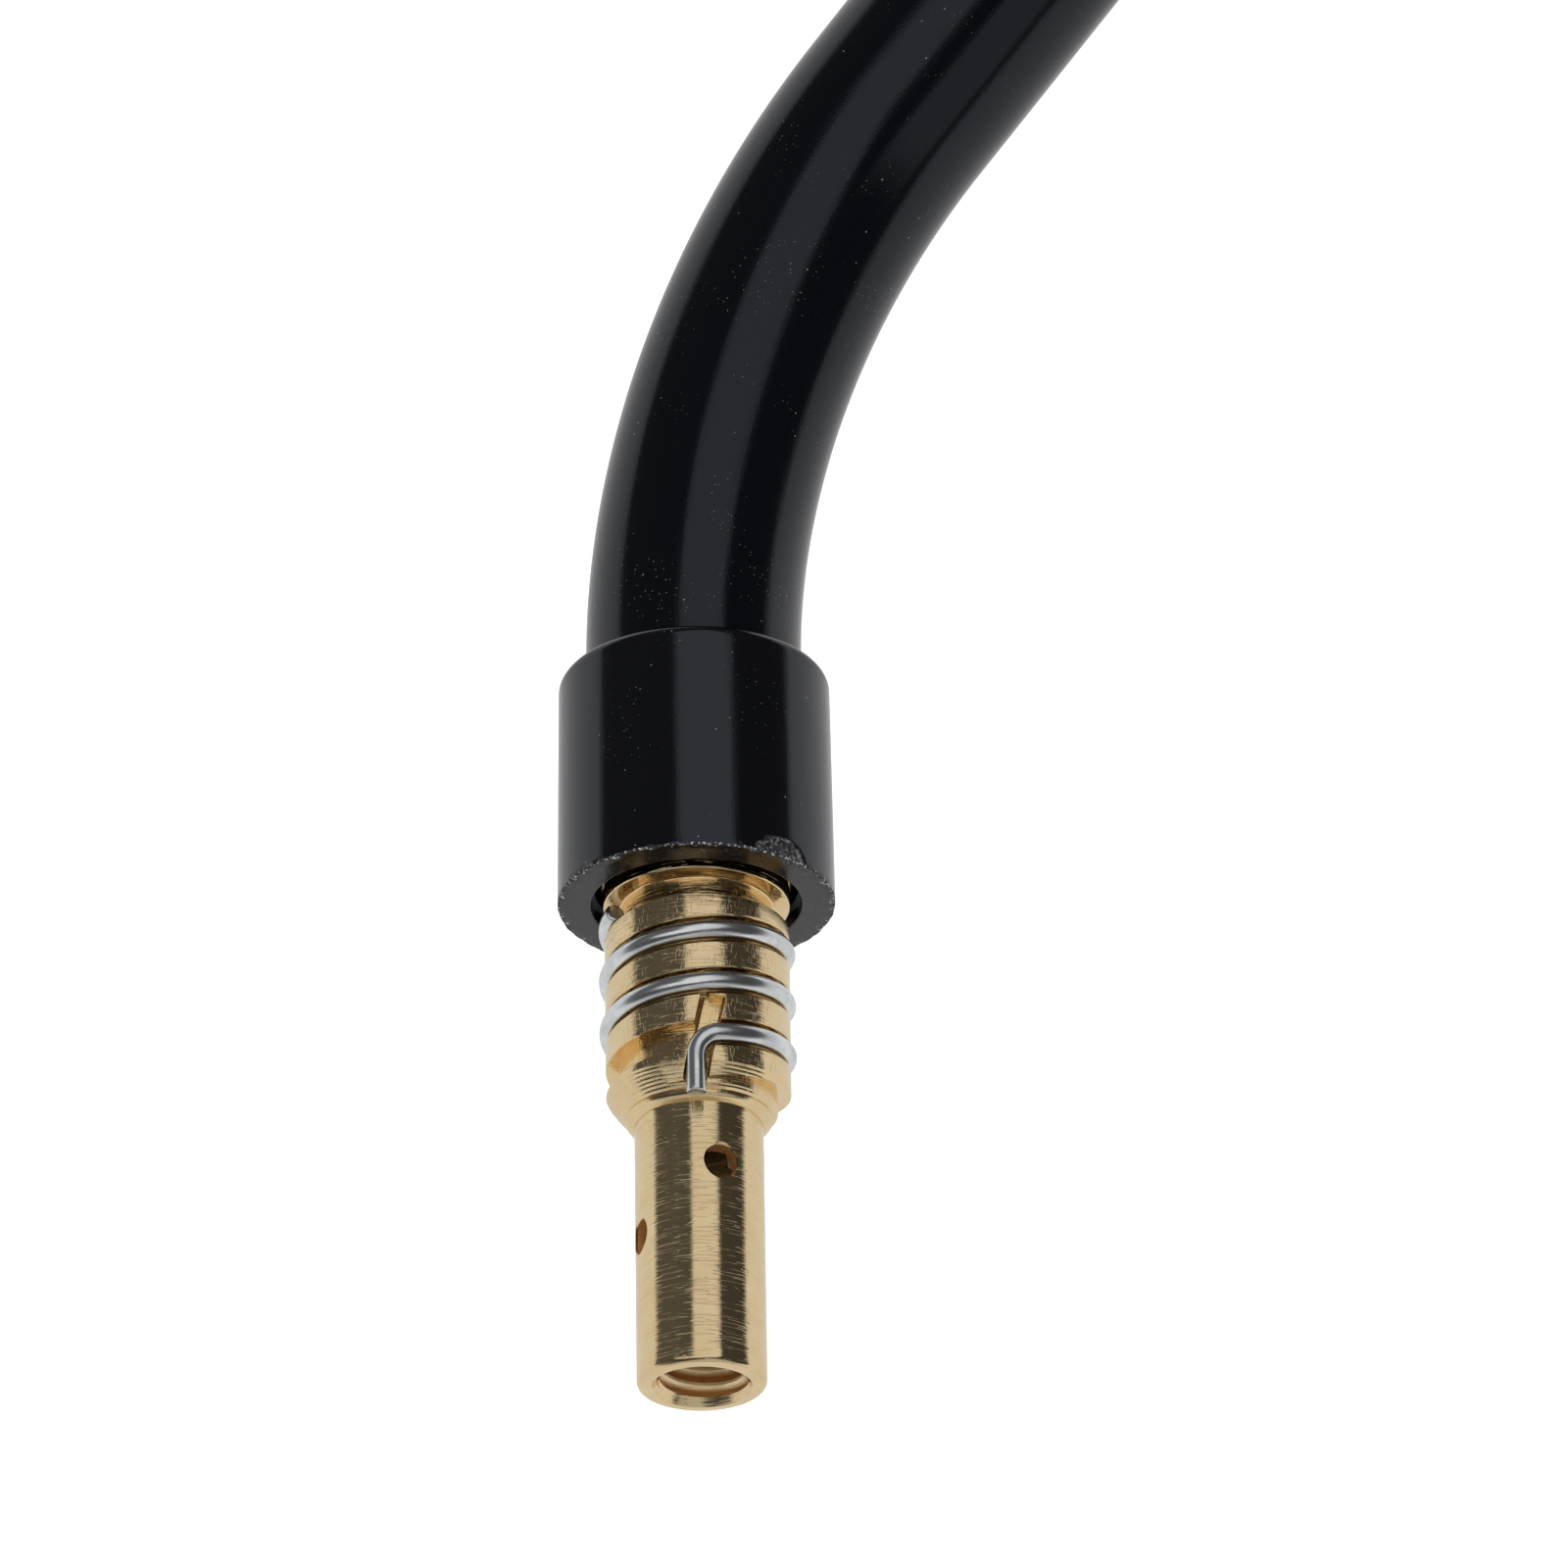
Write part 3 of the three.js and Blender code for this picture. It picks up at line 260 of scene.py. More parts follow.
# ---- Node materials ----
class Nodes:
    """A node tree that is put together call by call."""

    def __init__(self, tree):
        self.tree = tree

    def node(self, kind, inputs=(), **settings):
        made = self.tree.nodes.new(kind)
        for key, value in settings.items():
            setattr(made, key, value)
        for key, value in dict(inputs).items():
            self.feed(made.inputs[key], value)
        return made

    def feed(self, socket, value):
        if isinstance(value, bpy.types.NodeSocket):
            self.tree.links.new(value, socket)
        else:
            socket.default_value = value


class Shader(Nodes):
    """A node material."""

    def __init__(self, name):
        self.material = bpy.data.materials.new(name)
        self.material.use_nodes = True
        super().__init__(self.material.node_tree)
        self.surface = self.tree.nodes["Principled BSDF"]

    def set(self, **inputs):
        for key, value in inputs.items():
            self.feed(self.surface.inputs[key.replace("_", " ")], value)

    def local(self):
        return self.node("ShaderNodeAttribute", attribute_name="local").outputs["Vector"]

    def objects(self):
        """Row coordinates in millimetres."""
        where = self.node("ShaderNodeTexCoord").outputs["Object"]
        return self.scaled(where, (1 / MM, 1 / MM, 1 / MM))

    def scaled(self, vector, scale, offset=(0, 0, 0), turn=(0, 0, 0)):
        if any(turn):
            vector = self.node("ShaderNodeMapping", {"Vector": vector, "Rotation": turn}).outputs["Vector"]
        inputs = {"Vector": vector, "Scale": scale, "Location": offset}
        return self.node("ShaderNodeMapping", inputs).outputs["Vector"]

    def noise(self, vector, scale=1.0, detail=2.0, roughness=0.5, distortion=0.0):
        inputs = {"Vector": vector, "Scale": scale, "Detail": detail, "Roughness": roughness}
        inputs["Distortion"] = distortion
        return self.node("ShaderNodeTexNoise", inputs).outputs["Fac"]

    def cells(self, vector, scale=1.0, feature="F1"):
        inputs = {"Vector": vector, "Scale": scale}
        return self.node("ShaderNodeTexVoronoi", inputs, feature=feature)

    def math(self, operation, first, second=0.0, clamp=False):
        made = self.node("ShaderNodeMath", {0: first, 1: second}, operation=operation, use_clamp=clamp)
        return made.outputs[0]

    def ramp(self, value, low, high, to_low=0.0, to_high=1.0):
        inputs = {"Value": value, "From Min": low, "From Max": high, "To Min": to_low, "To Max": to_high}
        return self.node("ShaderNodeMapRange", inputs).outputs["Result"]

    def mix(self, share, first, second):
        made = self.node("ShaderNodeMix", data_type="RGBA")
        self.feed(made.inputs["Factor"], share)
        for socket, value in ((made.inputs[6], first), (made.inputs[7], second)):
            self.feed(socket, value if isinstance(value, bpy.types.NodeSocket) else (*value, 1))
        return made.outputs[2]

    def bump(self, height, distance_mm, strength=1.0, normal=None):
        inputs = {"Height": height, "Distance": distance_mm * MM, "Strength": strength}
        if normal:
            inputs["Normal"] = normal
        return self.node("ShaderNodeBump", inputs).outputs["Normal"]


def specks(s, where, cells_per_mm, radius, share):
    """1 on sparse round specks and 0 elsewhere."""
    near = s.cells(where, cells_per_mm)
    in_speck = s.math("LESS_THAN", near.outputs["Distance"], radius)
    hue = s.node("ShaderNodeSeparateColor", {"Color": near.outputs["Color"]}).outputs["Red"]
    return s.math("MULTIPLY", in_speck, s.math("LESS_THAN", hue, share))


def dashes(s, where, scale, angle, threshold):
    """1 on short straight scratches at an angle to the turning direction, and 0 elsewhere."""
    long_grain = s.noise(s.scaled(where, scale, (3, 5, 8), (0, 0, math.radians(angle))), 1.0, 1.0, 0.4)
    return s.ramp(long_grain, threshold, threshold + 0.05)


def hairline(s, where, scale, width):
    """1 on thin wandering lines and 0 elsewhere."""
    wander = s.noise(s.scaled(where, scale), 1.0, 1.0, 0.4, 0.4)
    off_line = s.math("ABSOLUTE", s.math("SUBTRACT", wander, 0.5))
    return s.ramp(off_line, 0, width, 1, 0)


def radius_of(s, where):
    """Distance from the X axis, in millimetres."""
    parts = s.node("ShaderNodeSeparateXYZ", {"Vector": where}).outputs
    side, up = parts["Y"], parts["Z"]
    squares = s.math("ADD", s.math("MULTIPLY", side, side), s.math("MULTIPLY", up, up))
    return s.math("SQRT", squares)


def turned_brass(name, light, dark, inside, roughness=0.09):
    """Brass with fine turning rings and scratches, warmer in its grooves, and with painted shade in its bore
    and holes: a darker brown, less metallic and rougher there, kept lighter on the thread crests.
    """
    face_depth, bore_edge = 0.66, 3.86
    seat_start, first_groove, groove_edge = 17.5, 19.2, 5.72
    s = Shader(name)
    where = s.local()
    station = s.node("ShaderNodeSeparateXYZ", {"Vector": where}).outputs["X"]
    radius = radius_of(s, where)
    ring = s.noise(s.scaled(where, (8, 0.2, 0.2)), 1.0, 2.5, 0.65)
    band = s.noise(s.scaled(where, (2.2, 0.1, 0.1), (7, 0, 0)), 1.0, 2.0, 0.5)
    patch = s.noise(where, 0.5, 4.0, 0.6)
    fine = s.noise(where, 6.0, 2.0, 0.6)
    turning = dashes(s, where, (8, 0.35, 0.35), 0, 0.57)
    slanted = dashes(s, where, (5.5, 0.7, 0.7), 38, 0.73)
    crossed = dashes(s, where, (6, 0.8, 0.8), -27, 0.74)
    mark = s.math("MAXIMUM", turning, s.math("MAXIMUM", slanted, crossed))
    chatter = s.noise(s.scaled(where, (1.7, 6.5, 6.5), (2, 1, 4)), 1.0, 1.0, 0.4)
    chatter = s.math("MULTIPLY", s.ramp(chatter, 0.58, 0.64), s.ramp(station, seat_start, seat_start + 1))
    tone = s.ramp(s.math("ADD", patch, s.math("MULTIPLY", ring, 0.5)), 0.5, 1.0)
    behind_face = s.ramp(station, face_depth, face_depth + 0.06)
    # bore is 1 in the bore and gas holes, where shade is painted in: a darker brown, lower metallic and
    # higher roughness
    bore = s.math("MULTIPLY", behind_face, s.ramp(radius, bore_edge, bore_edge - 0.04))
    on_seat = s.ramp(station, first_groove, first_groove + 0.6)
    groove = s.math("MULTIPLY", on_seat, s.ramp(radius, groove_edge, groove_edge - 0.17))
    colour = s.mix(s.math("MULTIPLY", groove, 0.35), s.mix(tone, dark, light), (0.9, 0.6, 0.25))
    # Painted shade in the bore: light brass on the thread crests, the darker brown in the thread roots
    inside = s.mix(s.ramp(radius, 2.7, 2.95), light, inside)
    height = s.math("ADD", ring, s.math("MULTIPLY", band, 0.8))
    height = s.math("ADD", height, s.math("MULTIPLY", fine, 0.08))
    height = s.math("ADD", height, s.math("MULTIPLY", chatter, 0.2))
    height = s.math("SUBTRACT", height, s.math("MULTIPLY", mark, 0.42))
    gloss = s.ramp(patch, 0.3, 0.7, roughness + 0.05, roughness - 0.03)
    s.set(
        # The bore and holes take the painted brown shade
        Base_Color=s.mix(bore, colour, inside),
        Metallic=s.ramp(bore, 0, 1, 1.0, 0.65),
        Roughness=s.math("ADD", gloss, s.math("MULTIPLY", bore, 0.15)),
        Normal=s.bump(height, 0.02),
    )
    return s.material


def drawn_metal(name, light, dark, roughness, where_row=False, bump=0.008):
    """Plain drawn or plated metal with a cloudy, slightly uneven surface."""
    s = Shader(name)
    where = s.objects() if where_row else s.local()
    patch = s.noise(where, 1.3, 4.0, 0.65)
    grain = s.noise(where, 6.0, 3.0, 0.6)
    s.set(
        Base_Color=s.mix(s.ramp(patch, 0.3, 0.7), dark, light),
        Metallic=1.0,
        Roughness=s.ramp(grain, 0.3, 0.7, roughness - 0.06, roughness + 0.1),
        Normal=s.bump(s.math("ADD", patch, s.math("MULTIPLY", grain, 0.4)), bump),
    )
    return s.material


def drawn_wire(name, light, dark):
    """Bright zinc-plated wire, with faint marks along the way it is wound."""
    s = Shader(name)
    where = s.local()
    stain = s.noise(s.scaled(where, (1.2, 0.5, 0.5)), 1.0, 3.0, 0.55)
    drawn = s.noise(s.scaled(where, (5, 0.5, 0.5)), 1.0, 2.0, 0.5)
    frost = s.noise(where, 7.0, 2.0, 0.6)
    s.set(
        Base_Color=s.mix(s.ramp(stain, 0.35, 0.65), dark, light),
        Metallic=1.0,
        Roughness=s.ramp(stain, 0.3, 0.7, 0.3, 0.2),
        Normal=s.bump(s.math("ADD", drawn, s.math("MULTIPLY", frost, 0.25)), 0.008),
    )
    return s.material


def chip_mask(s, where, centre, length, half_width):
    """1 in a chipped patch round a point of the skin, with an uneven rim."""
    scale = (1 / length, 1 / half_width, 1 / half_width)
    middle = tuple(c * k for c, k in zip(centre, scale))
    away = s.node("ShaderNodeVectorMath", {0: s.scaled(where, scale), 1: middle}, operation="DISTANCE")
    uneven = s.math("MULTIPLY", s.math("SUBTRACT", s.noise(where, 1.6, 4.0, 0.6), 0.5), 0.5)
    return s.ramp(s.math("ADD", away.outputs["Value"], uneven), 1.0, 0.93)


def gloss_black(name, base, dust, roughness, refraction, grain=0.5, chip=None):
    """Glossy black, with clustered dust, faint scratches along it and a slightly uneven skin."""
    s = Shader(name)
    where = s.local()
    far = s.scaled(where, (1, 1, 1), (40, 9, 3))
    cluster = s.ramp(s.noise(where, 0.16, 2.0, 0.5), 0.5, 0.66)
    speck = s.math("MAXIMUM", specks(s, where, 1.3, 0.065, 0.2),
                   s.math("MULTIPLY", specks(s, far, 3.4, 0.11, 0.5), cluster))
    smear = s.noise(s.scaled(where, (0.05, 0.5, 0.5)), 1.0, 3.0, 0.6)
    drawn = s.noise(s.scaled(where, (0.1, 2.4, 2.4)), 1.0, 2.0, 0.5)
    peel = s.noise(where, 5.0, 2.0, 0.6)
    scratch = hairline(s, where, (0.12, 0.9, 0.9), 0.004)
    height = s.math("ADD", s.math("MULTIPLY", drawn, 1.1), s.math("MULTIPLY", peel, grain))
    height = s.math("ADD", height, s.math("MULTIPLY", speck, 1.5))
    gloss = s.ramp(smear, 0.3, 0.7, roughness - 0.03, roughness + 0.05)
    gloss = s.math("ADD", gloss, s.math("MULTIPLY", scratch, 0.1))
    colour = s.mix(speck, base, dust)
    if chip:
        broken = chip_mask(s, where, *chip)
        rubble = s.noise(where, 4.5, 4.0, 0.75)
        grey = s.mix(s.ramp(rubble, 0.5, 0.66), (0.003, 0.003, 0.003), (0.15, 0.15, 0.145))
        colour = s.mix(broken, colour, grey)
        gloss = s.math("ADD", gloss, s.math("MULTIPLY", broken, 0.42))
        height = s.math("ADD", height, s.math("MULTIPLY", s.math("MULTIPLY", rubble, broken), 22.0))
    s.set(
        Base_Color=colour,
        Roughness=gloss,
        Specular_Tint=(0.86, 0.9, 1, 1),
        IOR=refraction,
        Normal=s.bump(height, 0.005),
    )
    return s.material


def moulded(name, base, roughness, grain_mm=0.35, depth=0.02, local=True, wear=None):
    """Textured moulded plastic or rubber."""
    s = Shader(name)
    where = s.local() if local else s.objects()
    grain = s.noise(where, 1 / grain_mm, 3.0, 0.6)
    cloud = s.noise(where, 0.06, 3.0, 0.5)
    lighter = tuple(min(1, c * 1.35 + 0.004) for c in base)
    colour = s.mix(s.ramp(cloud, 0.3, 0.7), base, lighter)
    if wear:
        scratched = s.math("MULTIPLY", hairline(s, where, (0.1, 0.25, 0.25), 0.003), 0.4)
        colour = s.mix(scratched, colour, wear)
    uneven = s.math("ADD", grain, s.math("MULTIPLY", cloud, 0.5))
    s.set(
        Base_Color=colour,
        Roughness=s.ramp(uneven, 0.4, 1.1, roughness - 0.06, roughness + 0.08),
        IOR=1.48,
        Normal=s.bump(grain, depth),
    )
    return s.material


# The darker brown painted into bores, holes and thread roots as shade
PAINTED_BORE_SHADE = (0.62, 0.33, 0.11)
brass = turned_brass("tip_brass", (0.88, 0.7, 0.42), (0.8, 0.61, 0.34), PAINTED_BORE_SHADE)
inner_brass = turned_brass("neck_brass", (0.7, 0.5, 0.26), (0.6, 0.42, 0.2), PAINTED_BORE_SHADE, 0.2)
zinc_wire = drawn_wire("spring_wire", (0.86, 0.88, 0.88), (0.66, 0.68, 0.7))
cap_gloss = gloss_black("cap_gloss", (0.0013, 0.0014, 0.002), (0.13, 0.13, 0.13), 0.12, 1.52,
                        chip=(CHIP_CENTRE, CHIP_LENGTH, CHIP_HALF_WIDTH))
sheath_gloss = gloss_black("sheath_gloss", (0.0009, 0.0013, 0.002), (0.17, 0.17, 0.17), 0.12, 1.44, 0.9)
shell_plastic = moulded("shell_plastic", (0.016, 0.0165, 0.018), 0.48, 0.3, 0.03, wear=(0.06, 0.06, 0.06))
ring_plastic = moulded("ring_plastic", (0.02, 0.0205, 0.022), 0.3, 0.5, 0.006)
pad_rubber = moulded("pad_rubber", (0.055, 0.057, 0.06), 0.72, 0.2, 0.03)
trigger_plastic = moulded("trigger_plastic", (0.36, 0.02, 0.016), 0.34, 0.4, 0.01)
black_oxide = drawn_metal("black_oxide", (0.12, 0.12, 0.125), (0.05, 0.05, 0.052), 0.34)


def cap_face_material():
    """Cut front face of the cap: dark, with filler grains and fine scratches."""
    s = Shader("cap_face")
    where = s.local()
    grain = s.noise(where, 6.0, 4.0, 0.7)
    speck = specks(s, where, 3.0, 0.1, 0.2)
    scratch = s.math("MULTIPLY", hairline(s, where, (0.5, 0.9, 0.6), 0.006), 0.5)
    s.set(
        Base_Color=s.mix(s.math("MAXIMUM", speck, scratch), (0.006, 0.006, 0.006), (0.1, 0.1, 0.1)),
        Roughness=s.ramp(grain, 0.3, 0.7, 0.1, 0.2),
        Specular_IOR_Level=0.4,
        Normal=s.bump(grain, 0.004),
    )
    return s.material


def cap_burr_material():
    """Broken edge of the cap, with pale fibres."""
    s = Shader("cap_burr")
    where = s.local()
    fleck = s.ramp(s.noise(where, 5.0, 4.0, 0.75), 0.54, 0.6)
    grain = s.noise(where, 9.0, 3.0, 0.7)
    s.set(
        Base_Color=s.mix(fleck, (0.012, 0.012, 0.013), (0.45, 0.45, 0.45)),
        Roughness=0.6,
        Normal=s.bump(grain, 0.05),
    )
    return s.material


cap_face = cap_face_material()
cap_burr = cap_burr_material()

# ---- Tip holder ----
TIP_TUBE_RADIUS = 4
SEAT_RADIUS = 5.78
SEAT_END = 30.8
RELIEF_REAR = 32.5
RELIEF_RADIUS = 4.7
FLANGE_RADIUS = 5.85
FLANGE_REAR = 33.7
GROOVE_FLOOR = 4.9
GROOVE_WIDTH = 1.75
GROOVE_CLOCKS = (-1105, 345)
GROOVE_CHAMFER = 0.1
SPRING_PITCH = 3.55
SPRING_ORIGIN = 28.3
MOUTH_RADIUS = 3.12
MOUTH_DEPTH = 0.67
THREAD_PITCH = 1
THREAD_MINOR = 2.55
THREAD_MAJOR = 3.02
THREAD_DEPTH = 16
STUB_END = 40.3
STUB_RADIUS = 4
GUIDE_BORE = 2.3
GAS_HOLE_RADIUS = 1.1
GAS_HOLES = [(13.5, 20), (9.5, -70)]


def around(station, radius, clock):
    """The neck point at a clock angle in degrees, which turns with the tip holder."""
    turn = TIP_CLOCK + math.radians(clock)
    return (station, radius * math.cos(turn), radius * math.sin(turn))


def wound(name, section, clocks, pitch, origin, per_turn=120):
    """A closed section of (offset, radius) points swept along a helix round the neck."""
    count = int(abs(clocks[1] - clocks[0]) / 360 * per_turn) + 2
    rings = [
        [around(origin + pitch * clock / 360 + offset, radius, clock) for offset, radius in section]
        for clock in np.linspace(*clocks, count)
    ]
    return skin(name, rings)


def drill(name, station, clock, radius, sides=64):
    """A round cutter into one side of the tube, which leaves a fine chamfer at the hole's lip."""
    lip = TIP_TUBE_RADIUS - 0.14
    hole = rod(name, [(0, radius), (lip, radius), (lip + 0.7, radius + 0.7)], sides)
    upright = Matrix.Rotation(math.pi / 2, 4, "Z")
    turn = Matrix.Rotation(TIP_CLOCK + math.radians(clock), 4, "X")
    hole.data.transform(Matrix.Translation((station, 0, 0)) @ turn @ upright)
    return hole


def shoulder_rings():
    """The front shoulder of the spring seat: a small step at the tube, then a cone with turning rings."""
    points = [(17.42, TIP_TUBE_RADIUS), (17.5, 4.22), (17.62, 4.45)]
    points += [(17.78, 4.56), (17.92, 4.56), (17.98, 4.5)]
    rings, start, length = 7, 18.02, 1.42
    for i in range(rings * 4):
        t = i / (rings * 4 - 1)
        ridge = (-0.02, 0.012, 0.03, 0.005)[i % 4]
        points.append((start + length * t, 4.62 + (SEAT_RADIUS - 4.66) * t**0.85 + ridge))
    return points


def tip_holder():
    profile = filleted([
        (0, MOUTH_RADIUS, 0.05),
        (0, TIP_TUBE_RADIUS, 0.56),
        *shoulder_rings(),
        (SEAT_END, SEAT_RADIUS, 0.08),
        (SEAT_END, RELIEF_RADIUS, 0.15),
        (RELIEF_REAR, RELIEF_RADIUS, 0.15),
        (RELIEF_REAR, FLANGE_RADIUS, 0.1),
        (FLANGE_REAR, FLANGE_RADIUS, 0.1),
        (FLANGE_REAR, STUB_RADIUS),
        (STUB_END, STUB_RADIUS, 0.3),
        (STUB_END, GUIDE_BORE),
        (THREAD_DEPTH, GUIDE_BORE),
        (THREAD_DEPTH, THREAD_MINOR),
        (MOUTH_DEPTH, THREAD_MINOR),
    ], 5)
    made = turned("tip_holder_turned", divided(profile, 1.2), 192)
    half = GROOVE_WIDTH / 2
    wide = half + 2.5 * GROOVE_CHAMFER
    chamfer_top = SEAT_RADIUS + 1.5 * GROOVE_CHAMFER
    groove = wound("groove", [
        (-half, GROOVE_FLOOR),
        (half, GROOVE_FLOOR),
        (half, SEAT_RADIUS - GROOVE_CHAMFER),
        (wide, chamfer_top),
        (wide, SEAT_RADIUS + 1),
        (-wide, SEAT_RADIUS + 1),
        (-wide, chamfer_top),
        (-half, SEAT_RADIUS - GROOVE_CHAMFER),
    ], GROOVE_CLOCKS, SPRING_PITCH, SPRING_ORIGIN)
    thread = wound("thread", [
        (-0.43, THREAD_MINOR - 0.03),
        (0.43, THREAD_MINOR - 0.03),
        (0.06, THREAD_MAJOR),
        (-0.06, THREAD_MAJOR),
    ], (-400, 360 * (THREAD_DEPTH - 1)), THREAD_PITCH, 0.3, 96)
    carve(made, groove, thread, tail_slot())
    carve(made, *[drill("gas", station, clock, GAS_HOLE_RADIUS) for station, clock in GAS_HOLES])
    place(made, on_neck, 28)
    return finished(made, brass, "handle", "tip_holder")


SLOT_WIDTH = 1.58
SLOT_END = 24
SLOT_TILT = 12
SLOT_STATION = 19.2


def tail_slot():
    """The slanted slot that the spring's front end lies in."""
    front, floor, top = 16.8, 4.75, 7
    half = SLOT_WIDTH / 2
    section = filleted([(-half, floor, 0.35), (half, floor, 0.35), (half, top), (-half, top)], 5)
    rings = [[(s - SLOT_STATION, height, across) for across, height in section] for s in (front, SLOT_END)]
    slot = skin("tail_slot", rings)
    tilt = Matrix.Rotation(-math.radians(SLOT_TILT), 4, "Y")
    turn = Matrix.Rotation(TIP_CLOCK, 4, "X")
    slot.data.transform(turn @ Matrix.Translation((SLOT_STATION, 0, 0)) @ tilt)
    return slot


# ---- Nozzle spring ----
WIRE_RADIUS = 0.62
SPRING_RADIUS = 5.52
SPRING_REAR_CLOCK = 293
SPRING_FRONT_CLOCK = -720
TAIL_RADIUS = 5.4
TAIL_FRONT = 17.4
TAIL_ASIDE = -0.12
HOOK_RADIUS = 1.5


def smooth_path(points, step):
    """Evenly spaced points on a Catmull-Rom curve through the given ones."""
    points = np.asarray(points, float)
    ends = np.vstack([2 * points[0] - points[1], points, 2 * points[-1] - points[-2]])
    dense = []
    for p0, p1, p2, p3 in zip(ends, ends[1:], ends[2:], ends[3:]):
        for t in np.linspace(0, 1, 12, endpoint=False):
            dense.append(0.5 * (2 * p1 + (p2 - p0) * t + (2 * p0 - 5 * p1 + 4 * p2 - p3) * t**2
                                + (3 * p1 - p0 - 3 * p2 + p3) * t**3))
    dense.append(points[-1])
    dense = np.array(dense)
    run = np.concatenate([[0], np.cumsum(np.linalg.norm(np.diff(dense, axis=0), axis=1))])
    at = np.linspace(0, run[-1], int(run[-1] / step) + 1)
    return np.stack([np.interp(at, run, dense[:, k]) for k in range(3)], 1)


def wire(name, path, radius, sides=20, end_rounding=0.12):
    """A round wire along a path, with slightly rounded cut ends."""
    tangents = np.gradient(path, axis=0)
    tangents /= np.linalg.norm(tangents, axis=1)[:, None]
    normal = np.cross(tangents[0], (0.3, 0.9, 0.2))
    normal /= np.linalg.norm(normal)
    turn = np.linspace(0, 2 * math.pi, sides, endpoint=False)
    rings = []
    for i, (point, tangent) in enumerate(zip(path, tangents)):
        normal = normal - tangent * (normal @ tangent)
        normal /= np.linalg.norm(normal)
        other = np.cross(tangent, normal)
        ring = point + radius * (np.outer(np.cos(turn), normal) + np.outer(np.sin(turn), other))
        out = tangent * (-1 if i == 0 else 1)
        edge = [point + (ring - point) * share + out * end_rounding * rise
                for share, rise in ((0.96, 0.45), (0.82, 0.85), (0.5, 1))]
        if i == 0:
            rings += edge[::-1] + [ring]
        elif i == len(path) - 1:
            rings += [ring] + edge
        else:
            rings.append(ring)
    return skin(name, rings)


def nozzle_spring():
    """The coils, the hook and the tail. The hook is an arc on the unrolled seat, (aside, station)."""
    slope = SPRING_PITCH / (2 * math.pi * SPRING_RADIUS)
    lead = math.atan(slope)
    start = SPRING_ORIGIN + SPRING_PITCH * SPRING_FRONT_CLOCK / 360
    centre = TAIL_ASIDE + HOOK_RADIUS
    height = start + slope * centre - HOOK_RADIUS / math.cos(lead)
    last = math.degrees((centre - HOOK_RADIUS * math.sin(lead)) / SPRING_RADIUS) + SPRING_FRONT_CLOCK
    points = [around(SPRING_ORIGIN + SPRING_PITCH * clock / 360, SPRING_RADIUS, clock)
              for clock in np.arange(SPRING_REAR_CLOCK, last + 3, -8)]
    for turn in np.linspace(0, 1, 8):
        angle = math.pi / 2 + lead + turn * (math.pi / 2 - lead)
        aside = centre + HOOK_RADIUS * math.cos(angle)
        radius = SPRING_RADIUS + turn * (TAIL_RADIUS - SPRING_RADIUS)
        points.append(around(height + HOOK_RADIUS * math.sin(angle), radius, math.degrees(aside / radius)))
    for station in np.linspace(height - 0.5, TAIL_FRONT, 4):
        points.append(around(station, TAIL_RADIUS, math.degrees(TAIL_ASIDE / TAIL_RADIUS)))
    made = wire("nozzle_spring_wire", smooth_path(points, 0.14), WIRE_RADIUS)
    place(made, on_neck, 40)
    return finished(made, zinc_wire, "handle", "nozzle_spring")


# ---- Neck, and the cap's body ----
NOSE_RADIUS = 6.1
NOSE_REAR = 45
SHEATH_RADIUS = 6.83


def insulating_cap():
    bore = SHEATH_RADIUS + FIT
    lip_end = CAP_FRONT + 1.2
    profile = filleted([
        (CAP_FRONT, CAP_MOUTH_RADIUS, 0.12),
        (CAP_FRONT, CAP_FRONT_RADIUS, 0.13),
        (CAP_REAR, CAP_REAR_RADIUS, 1.9),
        (CAP_REAR, bore, 0.06),
        (NOSE_REAR, bore),
        (NOSE_REAR, NOSE_RADIUS + FIT),
        (lip_end, NOSE_RADIUS + FIT),
        (lip_end, CAP_MOUTH_RADIUS),
    ], 12)
    made = turned("insulating_cap_moulded", divided(profile, 0.2), 420)
    chip_and_burr(made.data)
    place(made, on_neck, 38)
    for material in (cap_gloss, cap_face, cap_burr):
        made.data.materials.append(material)
    paint_cap(made.data)
    return finished(made, cap_gloss, "handle", "insulating_cap")


def cap_places(local):
    """Station, radius and clock in degrees of points of the cap."""
    station, side, up = local.T
    clock = np.degrees(np.arctan2(up, side) - TIP_CLOCK)
    return station, np.hypot(side, up), (clock + 180) % 360 - 180


def chip_depth(station, clock):
    """How far inside the chipped patch a point of the cap's skin is, from 0 at its rim to 1."""
    across = (clock - CHIP_CLOCK) * math.pi / 180 * CAP_FRONT_RADIUS / CHIP_HALF_WIDTH
    along = (station - CAP_FRONT) / CHIP_LENGTH
    ripple = 0.05 * np.sin(across * 4.1 + 1) + 0.03 * np.sin(across * 9.3 + along * 7)
    return np.clip(1 - np.hypot(across, along) - ripple, 0, 1)


def chip_and_burr(mesh):
    """Breaks a patch out of the front edge, and roughens that edge all round."""
    rng = np.random.default_rng(7)
    local = vectors_of(mesh.vertices, "co")
    station, radius, clock = cap_places(local)
    outside = radius > CAP_MOUTH_RADIUS + 0.6
    deep = chip_depth(station, clock) * outside
    grain = rng.uniform(-1, 1, len(local))
    inwards = np.minimum(deep * 5, 1) * (0.13 + 0.03 * grain)
    at_edge = np.exp(-(((station - CAP_FRONT) / 0.16) ** 2)) * (radius > CAP_FRONT_RADIUS - 0.35)
    waves = 0.5 * np.sin(np.radians(clock) * 17) + 0.5 * np.sin(np.radians(clock) * 41 + 2)
    inwards = inwards + at_edge * (0.035 + 0.035 * waves + 0.03 * grain)
    local[:, 1:] *= ((radius - inwards) / radius)[:, None]
    local[:, 0] += at_edge * 0.03 * (1 + waves) * 0.5
    mesh.vertices.foreach_set("co", local.ravel())


